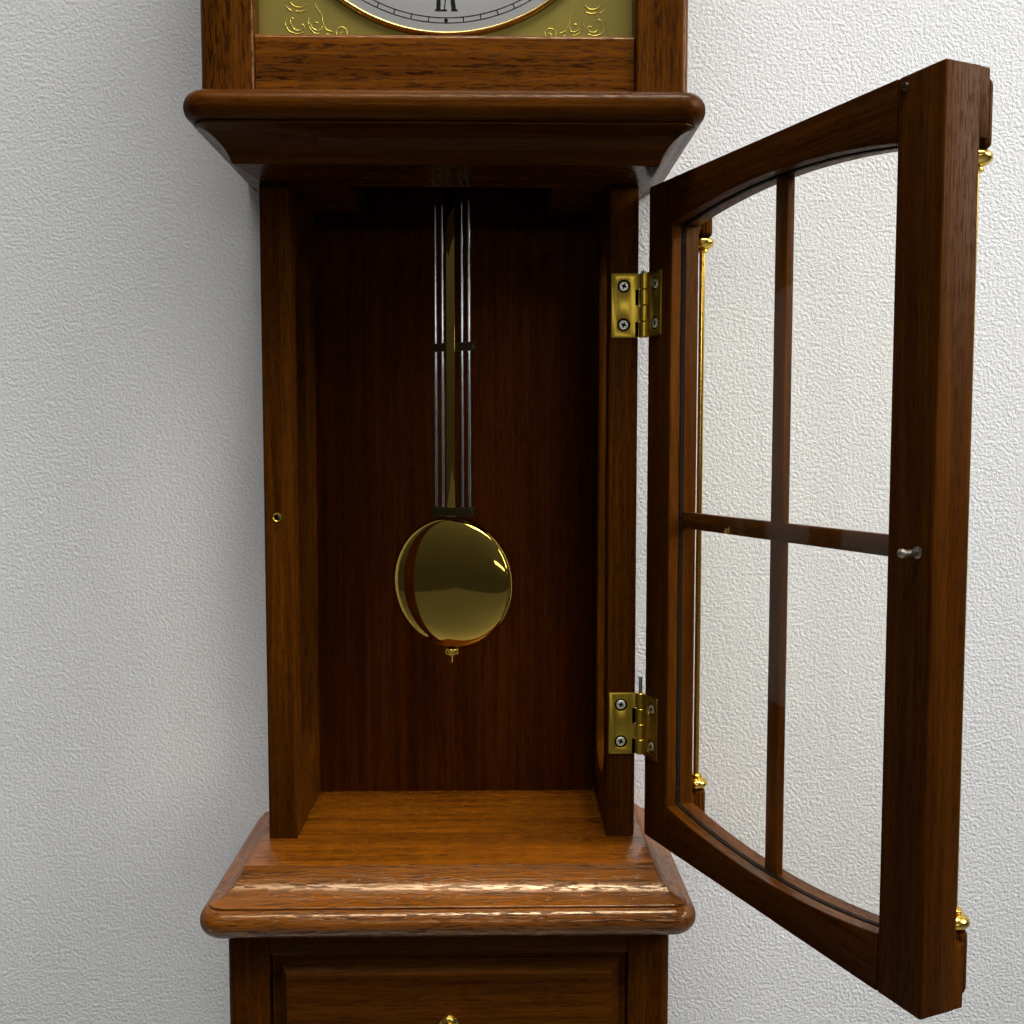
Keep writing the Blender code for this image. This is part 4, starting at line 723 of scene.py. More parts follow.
WINDOW_FRONT, WINDOW_BACK, WINDOW_END = 0.020, 0.068, 0.0307
WINDOW_RADIUS, GLASS_LEDGE, GLASS_DEPTH = 0.020, 0.005, 0.006
EYELET = ((0.0020, -0.0004), (0.0024, -0.0007), (0.0029, -0.0005), (0.0031, -0.0001), (0.0026, -0.0001),
          (0.0026, 0.004), (0.0020, 0.004))
CATCH_HOLE, CATCH_DEPTH = 0.0027, 0.016
STILE_THICK, HOOD_BOARD = 0.0145, 0.014
DRAWER_FIT, DRAWER_RAISE = 0.0006, 0.0072
BEVEL_START, BEVEL_WIDTH, FIELD_STEP = 0.0038, 0.0058, 0.0012
BASE_EDGE = (0.0008, 3, 60)
KNOB_RADIUS, KNOB_MIDDLE = 0.007, 0.0122
KNOB_STEM = ((0, 0), (0.0060, 0), (0.0062, -0.0006), (0.0059, -0.0014), (0.0046, -0.0018), (0.0034, -0.0026),
             (0.0030, -0.0042), (0.0032, -0.0062), (0.0040, -0.0074), (0.0044, -0.0078), (0.0044, -0.0084),
             (0.0050, -0.0088))


def window_outline(grow=0.0):
    front, back = Y_WAIST + WINDOW_FRONT - grow, Y_WAIST + WINDOW_BACK + grow
    foot, top = Z_FLOOR + WINDOW_END - grow, Z_CEILING - WINDOW_END + grow
    return rounded_rectangle(front, back, foot, top, WINDOW_RADIUS + grow)


def waist_side(name, side):
    """A side board with its window, and the bead that holds the glass."""
    low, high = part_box(f"waist_side_{name}")
    board = box(f"waist_board_{name}", low, high, "oak_up")
    ledge = sorted((side * (X_WAIST - GLASS_DEPTH), side * (X_WAIST + GLASS_DEPTH)))
    cutters = [prism("window", window_outline(), "YZ", low.x - THROUGH, high.x + THROUGH, "shade"),
               prism("rebate", window_outline(GLASS_LEDGE), "YZ", *ledge, "shade")]
    if side < 0:
        cutters.append(turned("catch_hole", cylinder(CATCH_HOLE, -CATCH_DEPTH, CATCH_DEPTH),
                              (CATCH_X, Y_WAIST, Z_DOOR), 32, "shade", FORWARD))
    carve(board, *cutters)
    carry(ease(board, segments=2), "case", "oak", f"waist_side_{name}")
    wide, narrow = window_outline(0.0046), window_outline(0.0004)
    deep, flush = X_WAIST - 0.0034, X_WAIST - 0.0006
    section = ((wide, deep), (wide, flush), (narrow, flush - 0.0012), (narrow, deep))
    rings = [[(side * depth, y, z) for y, z in outline] for outline, depth in section]
    carry(lofted(f"window_bead_{name}", rings, "oak_up", hollow=True), "case", "oak")


class CLOCK_OT_waist(bpy.types.Operator):
    """Plane the waist sides, glaze their windows and line the catch's hole"""
    bl_idname = "clock.waist"
    bl_label = "Waist"

    def execute(self, context):
        for name, side in SIDES:
            waist_side(name, side)
        coat("glass", "side_glass_left", "side_glass_right")
        coat("oak_inside", "back_board")
        carry(turned("catch_eyelet", EYELET, (CATCH_X, Y_WAIST, Z_DOOR), 40, "hinge_brass", FORWARD, True),
              "case", "brass")
        return {"FINISHED"}


class CLOCK_OT_hood(bpy.types.Operator):
    """Shape the hood's side angles and its rails"""
    bl_idname = "clock.hood"
    bl_label = "Hood"

    def execute(self, context):
        low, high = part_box("hood_side_right")
        board_in = high.x - HOOD_BOARD
        plan = [(board_in, 0), (board_in, low.y + STILE_THICK), (low.x, low.y + STILE_THICK)]
        plan += arc((low.x + 0.0025, low.y + 0.0025), 0.0025, 180, 270, 10)
        plan += arc((high.x - 0.005, low.y + 0.005), 0.005, 270, 360, 12)
        plan.append((high.x, 0))
        for name, side in SIDES:
            outline = [(side * x, y) for x, y in plan]
            piece = prism(f"hood_angle_{name}", outline, "XY", low.z, high.z, "oak_hood")
            carry(piece, "case", "oak", f"hood_side_{name}")
        for name, way in (("bottom", 1), ("top", -1)):
            low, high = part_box(f"hood_{name}_rail")
            edge, foot = (high.z, low.z) if way > 0 else (-low.z, -high.z)
            section = [(high.y, foot), (low.y + 0.0008, foot), (low.y, foot + 0.0008)]
            section += arc((low.y + 0.0028, edge - 0.0028), 0.0028, 180, 90, 10)
            section.append((high.y, edge))
            outline = [(y, way * z) for y, z in section]
            piece = prism(f"hood_rail_{name}", outline, "YZ", low.x, high.x, "oak_rail")
            carry(piece, "case", "oak", f"hood_{name}_rail")
        return {"FINISHED"}


def drawer_panel(low, high):
    """A raised field: nested rectangles from the back over a grooved border and a bevel."""
    field, border = low.y, low.y + DRAWER_RAISE
    profile = [(0, high.y), (0, border + 0.0006), (0.0006, border), (0.0024, border),
               (0.0027, border + 0.0006), (0.0032, border + 0.0006), (0.0035, border)]
    for i in range(13):
        t = i / 12
        profile.append((BEVEL_START + BEVEL_WIDTH * t, border - (border - field - FIELD_STEP) * t ** 1.2))
    profile += [(0.0098, field + 0.0003), (0.0100, field + 0.0001), (0.0105, field)]
    rings = []
    for inset, y in profile:
        x0, x1, z0, z1 = low.x + inset, high.x - inset, low.z + inset, high.z - inset
        rings.append([(x0, y, z0), (x1, y, z0), (x1, y, z1), (x0, y, z1)])
    carry(lofted("drawer_panel", rings, "oak_across"), "drawer", "oak", "drawer_front")


class CLOCK_OT_base(bpy.types.Operator):
    """Frame the base and fit its drawer with a raised field and turned knob"""
    bl_idname = "clock.base"
    bl_label = "Base and drawer"

    def execute(self, context):
        low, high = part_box("base_front_frame")
        drawer_low, drawer_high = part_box("drawer_front")
        inner = drawer_high.x + DRAWER_FIT
        plan = [(high.x, high.y), (inner, high.y), (inner, low.y)]
        plan += arc((high.x - 0.006, low.y + 0.006), 0.006, 270, 360, 10)
        for (name, side), nodes in zip(SIDES, (["base_front_frame"], [])):
            outline = [(side * x, y) for x, y in plan]
            stile = prism(f"base_stile_{name}", outline, "XY", low.z, high.z, "oak_up")
            carry(ease(stile, *BASE_EDGE), "case", "oak", *nodes)
        rails = []
        for foot, head in ((low.z, drawer_low.z - DRAWER_FIT), (drawer_high.z + DRAWER_FIT, high.z)):
            rail = box("base_rail", (-inner, low.y, foot), (inner, high.y, head), "oak_across")
            rails.append(ease(rail, *BASE_EDGE))
        carry(merge("base_rails", rails), "case", "oak")
        coat("oak_deep", "base_side_left", "base_side_right")
        drawer_panel(drawer_low, drawer_high)
        coat("oak_tray", "drawer_tray")
        low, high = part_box("drawer_knob")
        dome = arc((0, -KNOB_MIDDLE), KNOB_RADIUS, 40, -90, 14, high.y - low.y - KNOB_MIDDLE)
        centre = (0, high.y, (low.z + high.z) / 2)
        carry(turned("drawer_knob_turned", [*KNOB_STEM, *dome], centre, 48, "brass", FORWARD),
              "drawer", "brass", "drawer_knob")
        return {"FINISHED"}


# Door

DOOR_STILE, DOOR_RAIL, ARCH_RISE = 0.0265, 0.0275, 0.0085
OPENING = X_WAIST - DOOR_STILE
COLUMN = (X_WAIST - 0.0130, Y_DOOR_FRONT - 0.0112)
COLUMN_HALF, COLUMN_DEPTH, REED_DEPTH = 0.0069, 0.0055, 0.00055
BLOCK_LENGTH, BLOCK_SHORT = 0.0298, 0.0004
PAD_THICK, PAD_SUNK, PAD_WIDTH = 0.0048, 0.002, 0.0205
NECK_HALF, NECK_SHORT = 0.0048, 0.0030
SHOULDER = ((0, 0.52), (0.0003, 0.64), (0.0008, 0.76), (0.0015, 0.87), (0.0024, 0.95), (0.0036, 1.0))
BLOCK_NECK = ((0.0022, 1.0), (0.0012, 0.985), (0.0005, 0.94), (0, 0.86))
BALL_RADIUS, BALL_HALF, BALL_CUT = 0.0073, 0.00375, 66
COLLAR = ((0.0034, 0.0002), (0.0038, 0.0008), (0.0038, 0.0016), (0.0032, 0.0022), (0.0024, 0.0023),
          (0.0018, 0.0024))
SEAM_NEAR, SEAM_FAR, SEAM_OUT, SEAM_IN = Y_DOOR - 0.0072, Y_DOOR - 0.0108, 0.0003, -0.0005
BAR_BACK = Y_DOOR - 0.0103
BAR_HALF, BAR_FLAT, BAR_DEPTH, BAR_CHAMFER = 0.005, 0.003, 0.006, 0.002
PLUG = ((0, 0.0013), (0.0012, 0.0012), (0.0019, 0.0008), (0.0022, 0.0002), (0.0022, -0.0005), (0, -0.0005))
PLUG_PLACE = (-X_WAIST + 0.0223, Y_DOOR, Z_DOOR_TOP - 0.0052)


def arched(half, edge, crown, steps=40):
    """Points along a shallow arch, from its right end over the crown to its left."""
    rise = crown - edge
    radius = (half * half + rise * rise) / (2 * rise)
    points = []
    for i in range(steps + 1):
        x = half - 2 * half * i / steps
        points.append((x, crown - radius + copysign(sqrt(radius * radius - x * x), rise)))
    return points


def reeded_block(name, side, end, way):
    """A reeded block with a round shoulder on its flat backing, at one end of a column."""
    middle, forward = side * COLUMN[0], COLUMN[1]
    outer = end - way * BLOCK_SHORT
    inner = outer - way * BLOCK_LENGTH
    reeds = bpy.context.scene.clock_sizes.reeds
    steps = reeds * 6
    levels = [(outer - way * step, share) for step, share in SHOULDER]
    levels += [(inner + way * step, share) for step, share in BLOCK_NECK]
    rings = []
    for z, share in levels:
        ring = []
        for i in range(steps):
            t = tau * i / steps
            groove = REED_DEPTH * abs(cos(reeds * t / 2)) ** 4
            ring.append((middle + share * (COLUMN_HALF - groove) * cos(t),
                         forward + share * (COLUMN_DEPTH - groove) * sin(t), z))
        rings.append(ring)
    block = lofted(name, rings, "oak_stile", DOOR_TURN)
    low, high = sorted((outer, inner))
    left, right = sorted((side * (X_WAIST - PAD_WIDTH), side * X_WAIST))
    pad = box(name + "_pad", (left, Y_DOOR_FRONT - PAD_THICK, low), (right, Y_DOOR_FRONT + PAD_SUNK, high),
              "oak_stile", DOOR_TURN)
    bridge = box(name + "_neck", (middle - NECK_HALF, forward, low + NECK_SHORT),
                 (middle + NECK_HALF, Y_DOOR_FRONT, high - NECK_SHORT), "oak_stile", DOOR_TURN)
    return [block, ease(pad, 0.0008), bridge]


def column_rod(name, node, side):
    """A brass rod with a flattened ball and a collar at each end."""
    top = Z_DOOR_TOP - BLOCK_SHORT - BLOCK_LENGTH - FIT - Z_DOOR
    foot = top - 2 * BALL_HALF
    half = [(0, top), (0.0028, top)]
    rise = BALL_HALF / sin(radians(BALL_CUT))
    half += arc((0, top - BALL_HALF), BALL_RADIUS, BALL_CUT, -BALL_CUT, 14, rise)
    half += [(radius, foot - step) for radius, step in COLLAR]
    profile = half + [(radius, -height) for radius, height in reversed(half)]
    rod = turned(name, profile, (side * COLUMN[0], COLUMN[1], Z_DOOR), 40, "brass", turn=DOOR_TURN)
    carry(rod, "door", "brass", node)


def pane_outline(grow):
    """The door's opening, arched above and below, grown all round."""
    half = OPENING + grow
    top, foot = Z_DOOR_TOP - DOOR_RAIL, Z_DOOR_FOOT + DOOR_RAIL
    return (arched(half, top + grow, top + ARCH_RISE + grow)
            + arched(half, foot - grow, foot - ARCH_RISE - grow)[::-1])


def glazing_seam():
    """A dark ring where the pane meets the wood: painted shade for the shadow in the groove that holds the
    glass.
    """
    section = ((SEAM_OUT, SEAM_NEAR), (SEAM_IN, SEAM_NEAR), (SEAM_IN, SEAM_FAR), (SEAM_OUT, SEAM_FAR))
    rings = [[(x, y, z) for x, z in pane_outline(grow)] for grow, y in section]
    carry(lofted("glazing_seam", rings, "shade", DOOR_TURN, True), "door", "oak")


def glazing_bars():
    """Bars with chamfered fronts, halved together in front of the glass."""
    front = BAR_BACK - BAR_DEPTH
    top = Z_DOOR_TOP - DOOR_RAIL + ARCH_RISE - FIT
    foot = Z_DOOR_FOOT + DOOR_RAIL - ARCH_RISE + FIT
    section = [(-BAR_HALF, BAR_BACK), (-BAR_HALF, front + BAR_CHAMFER), (-BAR_FLAT, front),
               (BAR_FLAT, front), (BAR_HALF, front + BAR_CHAMFER), (BAR_HALF, BAR_BACK)]
    upright = prism("bar_upright", section, "XY", foot, top, "oak_stile", DOOR_TURN)
    carry(ease(upright, 0.0005, 2), "door", "oak", "door_muntin_upright")
    across = [(y, x + Z_DOOR) for x, y in section]
    cross = prism("bar_cross", across, "YZ", FIT - OPENING, OPENING - FIT, "oak_door", DOOR_TURN)
    carry(ease(cross, 0.0005, 2), "door", "oak", "door_muntin_cross")


class CLOCK_OT_door(bpy.types.Operator):
    """Frame and glaze the waist door, and stand its columns"""
    bl_idname = "clock.door"
    bl_label = "Door"

    def execute(self, context):
        for name, side in (("hinge", 1), ("latch", -1)):
            left, right = sorted((side * OPENING, side * X_WAIST))
            stile = box(f"stile_{name}", (left, Y_DOOR_FRONT, Z_DOOR_FOOT), (right, Y_DOOR, Z_DOOR_TOP),
                        "oak_stile", DOOR_TURN)
            made = [ease(stile)]
            made += reeded_block(f"block_top_{name}", side, Z_DOOR_TOP, 1)
            made += reeded_block(f"block_foot_{name}", side, Z_DOOR_FOOT, -1)
            carry(merge(f"door_upright_{name}", made), "door", "oak", f"door_stile_{name}")
            column_rod(f"column_{name}", f"column_rod_{name}", side)
        half = OPENING - FIT
        for name, end, way in (("top", Z_DOOR_TOP, 1), ("bottom", Z_DOOR_FOOT, -1)):
            edge = end - way * DOOR_RAIL
            rail = [(half, end), (-half, end)] + arched(half, edge, edge + way * ARCH_RISE)[::-1]
            piece = prism(f"arched_rail_{name}", rail, "XZ", Y_DOOR_FRONT, Y_DOOR, "oak_door", DOOR_TURN)
            carry(ease(piece, 0.0009), "door", "oak", f"door_{name}_rail")
        glazing_bars()
        glazing_seam()
        coat("glass", "door_glass")
        carry(turned("stile_plug", PLUG, PLUG_PLACE, 24, "bronze", FORWARD, turn=DOOR_TURN), "door", "oak")
        return {"FINISHED"}


# Hinges and catch

HINGES = {"upper": Z_DOOR + 0.133, "lower": Z_DOOR - 0.133}
LEAF_WIDE, LEAF_TALL, LEAF_CORNER = 0.017, 0.040, 0.0008
LEAF_BACK, LEAF_FACE = 0.0003, 0.0011
LEAF_SPANS = {"case": (Y_WAIST - LEAF_FACE, Y_WAIST - LEAF_BACK),
              "door": (Y_DOOR + LEAF_BACK, Y_DOOR + LEAF_FACE)}
KNUCKLE, KNUCKLE_FIT = 0.010, 0.00015
ROLL = (0.00155, 0.0026, 0.003, 0.0004)
SCREW_ACROSS, SCREW_UP = 0.0092, 0.012
WELL_RADIUS = 0.0040
CROSS_ARM, CROSS_HALF = 0.56, 0.20
CROWN = ((0, -0.00004), (0.60, -0.00005), (0.86, -0.00014), (0.97, -0.00028), (1.0, -0.00044),
         (1.0, -0.0008), (0, -0.0008))
CATCH_STEM = ((0, 0.0003), (0.0027, 0.0003), (0.0027, 0.0008), (0.0016, 0.0012), (0.0015, 0.0066))
CATCH_BALL, CATCH_REACH = 0.0021, 0.0089


def cross_bars(radius, low, high):
    arm, half = CROSS_ARM * radius, CROSS_HALF * radius
    return (box("bar_a", (-arm, -half, low), (arm, half, high), "shade"),
            box("bar_b", (-half, -arm, low), (half, arm, high), "shade"))


def screws(kind, places, facing, turn=None):
    """Screw heads with a cross recess, each over a dark disc of painted shade in its countersunk well and
    with a dark cross of painted shade in its recess.
    """
    radius = bpy.context.scene.clock_sizes.screw_head
    head = turned("screw_head", [(share * radius, z) for share, z in CROWN], (0, 0, 0), 32, "zinc")
    carve(head, *cross_bars(radius, -0.0006, 0.002))
    carry(set_at(f"{kind}_screws", head, places, facing, "zinc", turn), kind, "steel")
    # Painted shade: a dark cross sunk in each head's recess.
    shadow = merge("cross_shadow", cross_bars(0.97 * radius, -0.0007, -0.0004))
    carry(set_at(f"{kind}_screw_crosses", shadow, places, facing, "shade", turn), kind, "steel")
    # Painted shade: a dark disc at the floor of each countersunk well, round the head.
    well = turned("well", cylinder(WELL_RADIUS + 0.0002, -0.00098, -0.00086), (0, 0, 0), 32, "shade")
    carry(set_at(f"{kind}_screw_wells", well, places, facing, "shade", turn), kind, "steel")


def hinge_leaf(name, node, body, place, own, turn=None):
    """A leaf with rounded corners and its own two knuckles, each rolled round the pin."""
    back, front = LEAF_SPANS[body]
    foot = HINGES[place] - LEAF_TALL / 2
    outline = rounded_rectangle(X_WAIST - LEAF_WIDE, X_WAIST + FIT, foot, foot + LEAF_TALL, LEAF_CORNER, 5)
    leaf = prism(name, outline, "XZ", back, front, "hinge_brass")
    wells = []
    for step in (-SCREW_UP, SCREW_UP):
        centre = (X_WAIST - SCREW_ACROSS, back, HINGES[place] + step)
        wells.append(turned("well", cylinder(WELL_RADIUS, -THROUGH, THROUGH), centre, 36, "shade", FORWARD))
    carve(leaf, *wells)
    if turn is not None:
        leaf.data.transform(turn)
    made = [ease(leaf, 0.0002, 2)]
    for i in range(own, 4, 2):
        low, high = foot + KNUCKLE * i + KNUCKLE_FIT, foot + KNUCKLE * (i + 1) - KNUCKLE_FIT
        made.append(turned(f"{name}_roll_{i}", sleeve(*ROLL, low, high), (HINGE.x, HINGE.y, 0), 36,
                           "hinge_brass", ring=True, turn=turn))
        made.append(box(f"{name}_lip_{i}", (X_WAIST - 0.002, back, low), (HINGE.x - 0.0016, front, high),
                        "hinge_brass", turn))
    carry(merge(name, made), body, "brass", node)


class CLOCK_OT_hinges(bpy.types.Operator):
    """Roll the butt hinges, screw them on and turn the catch"""
    bl_idname = "clock.hinges"
    bl_label = "Hinges and catch"

    def execute(self, context):
        for place in HINGES:
            hinge_leaf(f"case_leaf_{place}", f"hinge_leaf_{place}", "case", place, 0)
            hinge_leaf(f"swing_leaf_{place}", f"door_leaf_{place}", "door", place, 1, DOOR_TURN)
            node = f"hinge_pin_{place}"
            low, high = (corner.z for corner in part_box(node))
            pin = [(0, high), (0.0013, high), (0.0018, high - 0.0004), (0.0018, high - 0.0009),
                   (0.0012, high - 0.0012), (0.0012, low + 0.0003), (0.0009, low), (0, low)]
            carry(turned(f"pin_{place}", pin, (HINGE.x, HINGE.y, 0), 24, "steel"), "case", "steel", node)
        x = X_WAIST - SCREW_ACROSS
        heights = [z + step for z in HINGES.values() for step in (-SCREW_UP, SCREW_UP)]
        screws("case", [(x, Y_WAIST - LEAF_FACE, z) for z in heights], (radians(90), radians(20), 0))
        screws("door", [(x, Y_DOOR + LEAF_FACE, z) for z in heights], (radians(-90), radians(35), 0),
               DOOR_TURN)
        catch = [*CATCH_STEM, *arc((0, CATCH_REACH), CATCH_BALL, -45, 75, 8), (0, CATCH_REACH + CATCH_BALL)]
        carry(turned("catch_stud", catch, (CATCH_X, Y_DOOR, Z_DOOR), 28, "pewter", FORWARD, turn=DOOR_TURN),
              "door", "brass", "catch_pin")
        return {"FINISHED"}


# Dial

ON_DIAL = Matrix.Translation((0, DIAL_FACE, 0)) @ Matrix.Rotation(radians(90), 4, "X")
NUMERALS = ("I", "II", "III", "IIII", "V", "VI", "VII", "VIII", "IX", "X", "XI", "XII")
LETTER_WIDTHS = {"I": 0.30, "V": 0.66, "X": 0.66}
NUMERAL_SPREAD, NUMERAL_TAPER = 0.62, 0.82
THICK, THIN, SERIF = 0.19, 0.05, 0.045
HEAD = 1 - SERIF
STROKES = {
    "I": ((0, 0, THICK),),
    "V": ((-0.02, -0.20, THICK), (0.03, 0.22, THIN)),
    "X": ((0.20, -0.20, THICK), (-0.22, 0.22, THIN)),
}
SERIFS = {
    "I": ((0, 0.29, 0), (0, 0.29, HEAD)),
    "V": ((-0.22, 0.28, HEAD), (0.22, 0.22, HEAD)),
    "X": ((-0.22, 0.26, HEAD), (0.22, 0.20, HEAD), (-0.22, 0.20, 0), (0.22, 0.26, 0)),
}
INK_RAISED, INK_SUNK = 0.0001, 0.0001
TRACK_HALF = 0.00024
DISC_HOLE, DISC_THICK, DISC_EDGE = 0.0042, 0.0012, 0.0002
DOT = ((0, 0.00016), (0.0009, 0.00014), (0.00115, 0.00008), (0.00115, -0.0001), (0, -0.0001))
SCROLLS = (
    ((92.0, 87.9), (90.6, 89.5), (88.7, 90.6)),
    ((86.5, 90.8), (83.5, 91.0), (80.7, 90.2)),
    ((89.5, 86.0), (87.0, 88.2), (83.0, 88.6), (80.0, 86.5)),
    ((91.4, 94.8), (92.4, 97.8), (91.3, 100.8), (88.3, 102.9), (85.2, 103.4), (82.0, 102.6)),
    ((87.4, 95.4), (88.4, 94.4), (89.5, 95.7), (89.0, 98.6), (86.8, 101.1), (83.9, 101.5), (81.6, 99.7),
     (82.5, 98.1), (83.7, 98.7)),
    ((78.8, 94.4), (79.4, 97.8), (77.9, 100.8), (75.7, 102.9), (73.0, 103.3)),
    ((78.6, 97.2), (76.8, 100.0), (74.2, 101.5), (71.8, 100.8), (71.4, 98.8)),
    ((75.4, 97.2), (74.6, 97.0), (73.9, 97.3)),
    ((75.7, 86.0), (73.5, 90.0), (71.6, 93.2), (70.8, 97.0), (69.1, 100.7), (65.6, 102.2)),
    ((70.4, 104.6), (69.2, 104.2), (68.0, 103.5), (66.1, 105.8), (64.0, 107.2)),
    ((63.0, 104.6), (63.2, 102.2), (62.0, 100.2), (59.4, 99.5), (57.4, 101.1), (57.1, 103.3), (58.7, 104.8),
     (60.3, 104.4), (60.8, 103.0), (59.5, 102.2)),
    ((57.0, 106.1), (54.8, 105.2), (53.0, 104.8), (51.6, 105.4)),
    ((56.2, 105.8), (54.4, 106.4), (52.6, 106.2)),
)
SCROLL_DROP, SCROLL_WIDTH, SCROLL_RAISED = 0.0095, 0.00058, 0.00004


def letter(sign):
    """Outlines of one Roman letter, one unit high: its strokes and then its serifs."""
    bars = [(foot, head, width, 0, 1) for foot, head, width in STROKES[sign]]
    bars += [(x, x, width, low, low + SERIF) for x, width, low in SERIFS[sign]]
    return [[(foot - width / 2, low), (foot + width / 2, low), (head + width / 2, high),
             (head - width / 2, high)] for foot, head, width, low, high in bars]


def numerals(sizes):
    height = sizes.numeral_height
    bm = bmesh.new()
    for hour, signs in enumerate(NUMERALS, 1):
        c, s = cos(radians(30 * hour)), sin(radians(30 * hour))
        left = -sum(LETTER_WIDTHS[sign] for sign in signs) / 2
        for sign in signs:
            middle = left + LETTER_WIDTHS[sign] / 2
            left += LETTER_WIDTHS[sign]
            for layer, outline in enumerate(letter(sign)):
                points = []
                for x, z in outline:
                    along = sizes.numeral_end - height * (1 - z)
                    taper = NUMERAL_TAPER + (1 - NUMERAL_TAPER) * z
                    across = (x + middle) * height * NUMERAL_SPREAD * taper
                    points.append((along * s + across * c, along * c - across * s))
                raised = 0.00012 + 0.00001 * layer
                add_prism(bm, points, "XZ", DIAL_FACE - raised, DIAL_FACE + INK_SUNK)
    carry(put("hour_numerals", bm, "ink"), "case", "silvered_dial")


def ink_ring(name, inner, outer):
    profile = [(inner, -INK_RAISED), (outer, -INK_RAISED), (outer, INK_SUNK), (inner, INK_SUNK)]
    carry(turned(name, profile, (0, DIAL_FACE, 0), 160, "ink", FORWARD, True), "case", "silvered_dial")


def bent(points, steps=8):
    """A smooth line through points."""
    line = []
    ends = [points[0]] + points + [points[-1]]
    for a, b, c, d in zip(ends, ends[1:], ends[2:], ends[3:]):
        for i in range(steps):
            t = i / steps
            line.append(tuple(0.5 * (2 * q + (r - p) * t + (2 * p - 5 * q + 4 * r - w) * t * t
                                     + (3 * q - p - 3 * r + w) * t ** 3) for p, q, r, w in zip(a, b, c, d)))
    return line + [points[-1]]


def spandrel_lines():
    """Scrollwork of the four corners, each with an arm along both edges of the plate."""
    corner = []
    for points in SCROLLS:
        arm = bent([(0.001 * x, 0.001 * z) for x, z in points])
        corner += [arm, [(z, x - SCROLL_DROP) for x, z in arm]]
    return [[(way * x, up * z) for x, z in points] for way in (-1, 1) for up in (-1, 1) for points in corner]


def wire(name, lines, finish):
    """Thin raised lines on the dial plate."""
    curve = bpy.data.curves.new(name, "CURVE")
    curve.dimensions = "3D"
    curve.bevel_depth = SCROLL_WIDTH / 2
    curve.bevel_resolution = 1
    curve.use_fill_caps = True
    for points in lines:
        spline = curve.splines.new("POLY")
        spline.points.add(len(points) - 1)
        for spot, (x, z) in zip(spline.points, points):
            spot.co = (x, DIAL_PLATE - SCROLL_RAISED, z, 1)
    holder = show(name, curve)
    mesh = evaluated(holder)
    drop(holder)
    mesh.materials.clear()
    mesh.materials.append(FINISHES[finish])
    mesh.shade_smooth()
    return show(name, mesh)


class CLOCK_OT_dial(bpy.types.Operator):
    """Engrave the dial plate, silver and number the disc, and turn the bezel"""
    bl_idname = "clock.dial"
    bl_label = "Dial"

    def execute(self, context):
        sizes = context.scene.clock_sizes
        coat("dial_brass", "dial_plate")
        disc = [(DISC_HOLE, DISC_THICK), (DISC_HOLE, 0.0001), (DISC_HOLE + DISC_EDGE, 0),
                (CHAPTER - DISC_EDGE, 0), (CHAPTER, DISC_EDGE), (CHAPTER, DISC_THICK)]
        carry(turned("silvered_chapter", disc, (0, DIAL_FACE, 0), 160, "silver", FORWARD, True),
              "case", "silvered_dial", "chapter_disc")
        self.bezel()
        numerals(sizes)
        for name, radius in (("inner", sizes.track_inner), ("outer", sizes.track_outer)):
            ink_ring(f"track_{name}", radius - TRACK_HALF, radius + TRACK_HALF)
        ink_ring("hour_line", 0.0664, 0.0667)
        reach = (sizes.track_outer - sizes.track_inner) / 2
        middle = (sizes.track_outer + sizes.track_inner) / 2
        tick = box("tick", (-0.00030, -reach, -INK_SUNK), (0.00030, reach, 0.00011), "ink")
        dot = turned("dot", DOT, (0, 0, 0), 20, "ink")
        for name, template, number in (("minute_ticks", tick, 60), ("five_minute_dots", dot, 12)):
            carry(ring_of(name, template, number, middle, "ink", ON_DIAL), "case", "silvered_dial")
        # The scrolls are raised lines in pale brass, a painted highlight for engraved cuts.
        carry(wire("spandrel_scrolls", spandrel_lines(), "scroll_brass"), "case", "brushed_brass")
        return {"FINISHED"}

    def bezel(self):
        """A round inner bead and a slope down to the plate."""
        low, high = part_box("dial_bezel")
        inside, outside = CHAPTER + FIT, high.x
        width, height = outside - inside, high.y - low.y
        shape = [(inside, 0), (inside, -0.55 * height)]
        shape += arc((inside + 0.30 * width, -0.55 * height), 0.30 * width, 180, 50, 12, -0.45 * height)
        shape += [(inside + 0.72 * width, -0.50 * height), (outside, -0.12 * height), (outside, 0)]
        carry(turned("turned_bezel", shape, (0, high.y, 0), 160, "bezel_brass", FORWARD, True),
              "case", "brass", "dial_bezel")


# Hands

HANDS = (
    ("hour_hand", "hour_work", 304, 0.062, 0.005, 0.0045, 0.0026),
    ("minute_hand", "minute_work", 48, 0.090, 0.0042, 0.0035, 0.0016),
)
BOSS = 0.0062
COLLET = ((0.0015, 0.0), (0.0036, 0.0), (0.0038, -0.0003), (0.0032, -0.0009), (0.0015, -0.0011))


def hand_outline(reach, width, spade, steps=60):
    """A tapering hand with a spade near its tip, pointing up."""
    start = 0.8 * BOSS
    right = []
    for i in range(steps):
        along = start + (reach - start) * i / steps
        swell = spade * exp(-((along - 0.72 * reach) / (0.07 * reach)) ** 2)
        right.append((width / 2 * (1 - 0.6 * along / reach) + swell, along))
    return right + [(0, reach)] + [(-x, z) for x, z in reversed(right)] + arc((0, 0), BOSS, 130, 410, 40)


class CLOCK_OT_hands(bpy.types.Operator):
    """File the spade hands and their nut"""
    bl_idname = "clock.hands"
    bl_label = "Hands"

    def execute(self, context):
        for node, body, angle, reach, width, spade, bore in HANDS:
            low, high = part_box(node)
            c, s = cos(radians(angle)), sin(radians(angle))
            outline = [(x * c + z * s, z * c - x * s) for x, z in hand_outline(reach, width, spade)]
            hand = prism(node + "_filed", outline, "XZ", low.y, high.y, "black")
            hole = cylinder(bore, -THROUGH, THROUGH)
            carve(hand, turned("bore", hole, (0, low.y, 0), 40, "shade", FORWARD))
            carry(ease(hand, 0.00022, 2), body, "blackened_steel", node)
        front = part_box("minute_hand")[0].y - 0.00002
        collet = turned("hand_collet", COLLET, (0, front, 0), 40, "brass", FORWARD, True)
        carry(collet, "minute_work", "brass")
        coat("brass", "centre_wheel", "hour_wheel")
        return {"FINISHED"}


# Pendulum

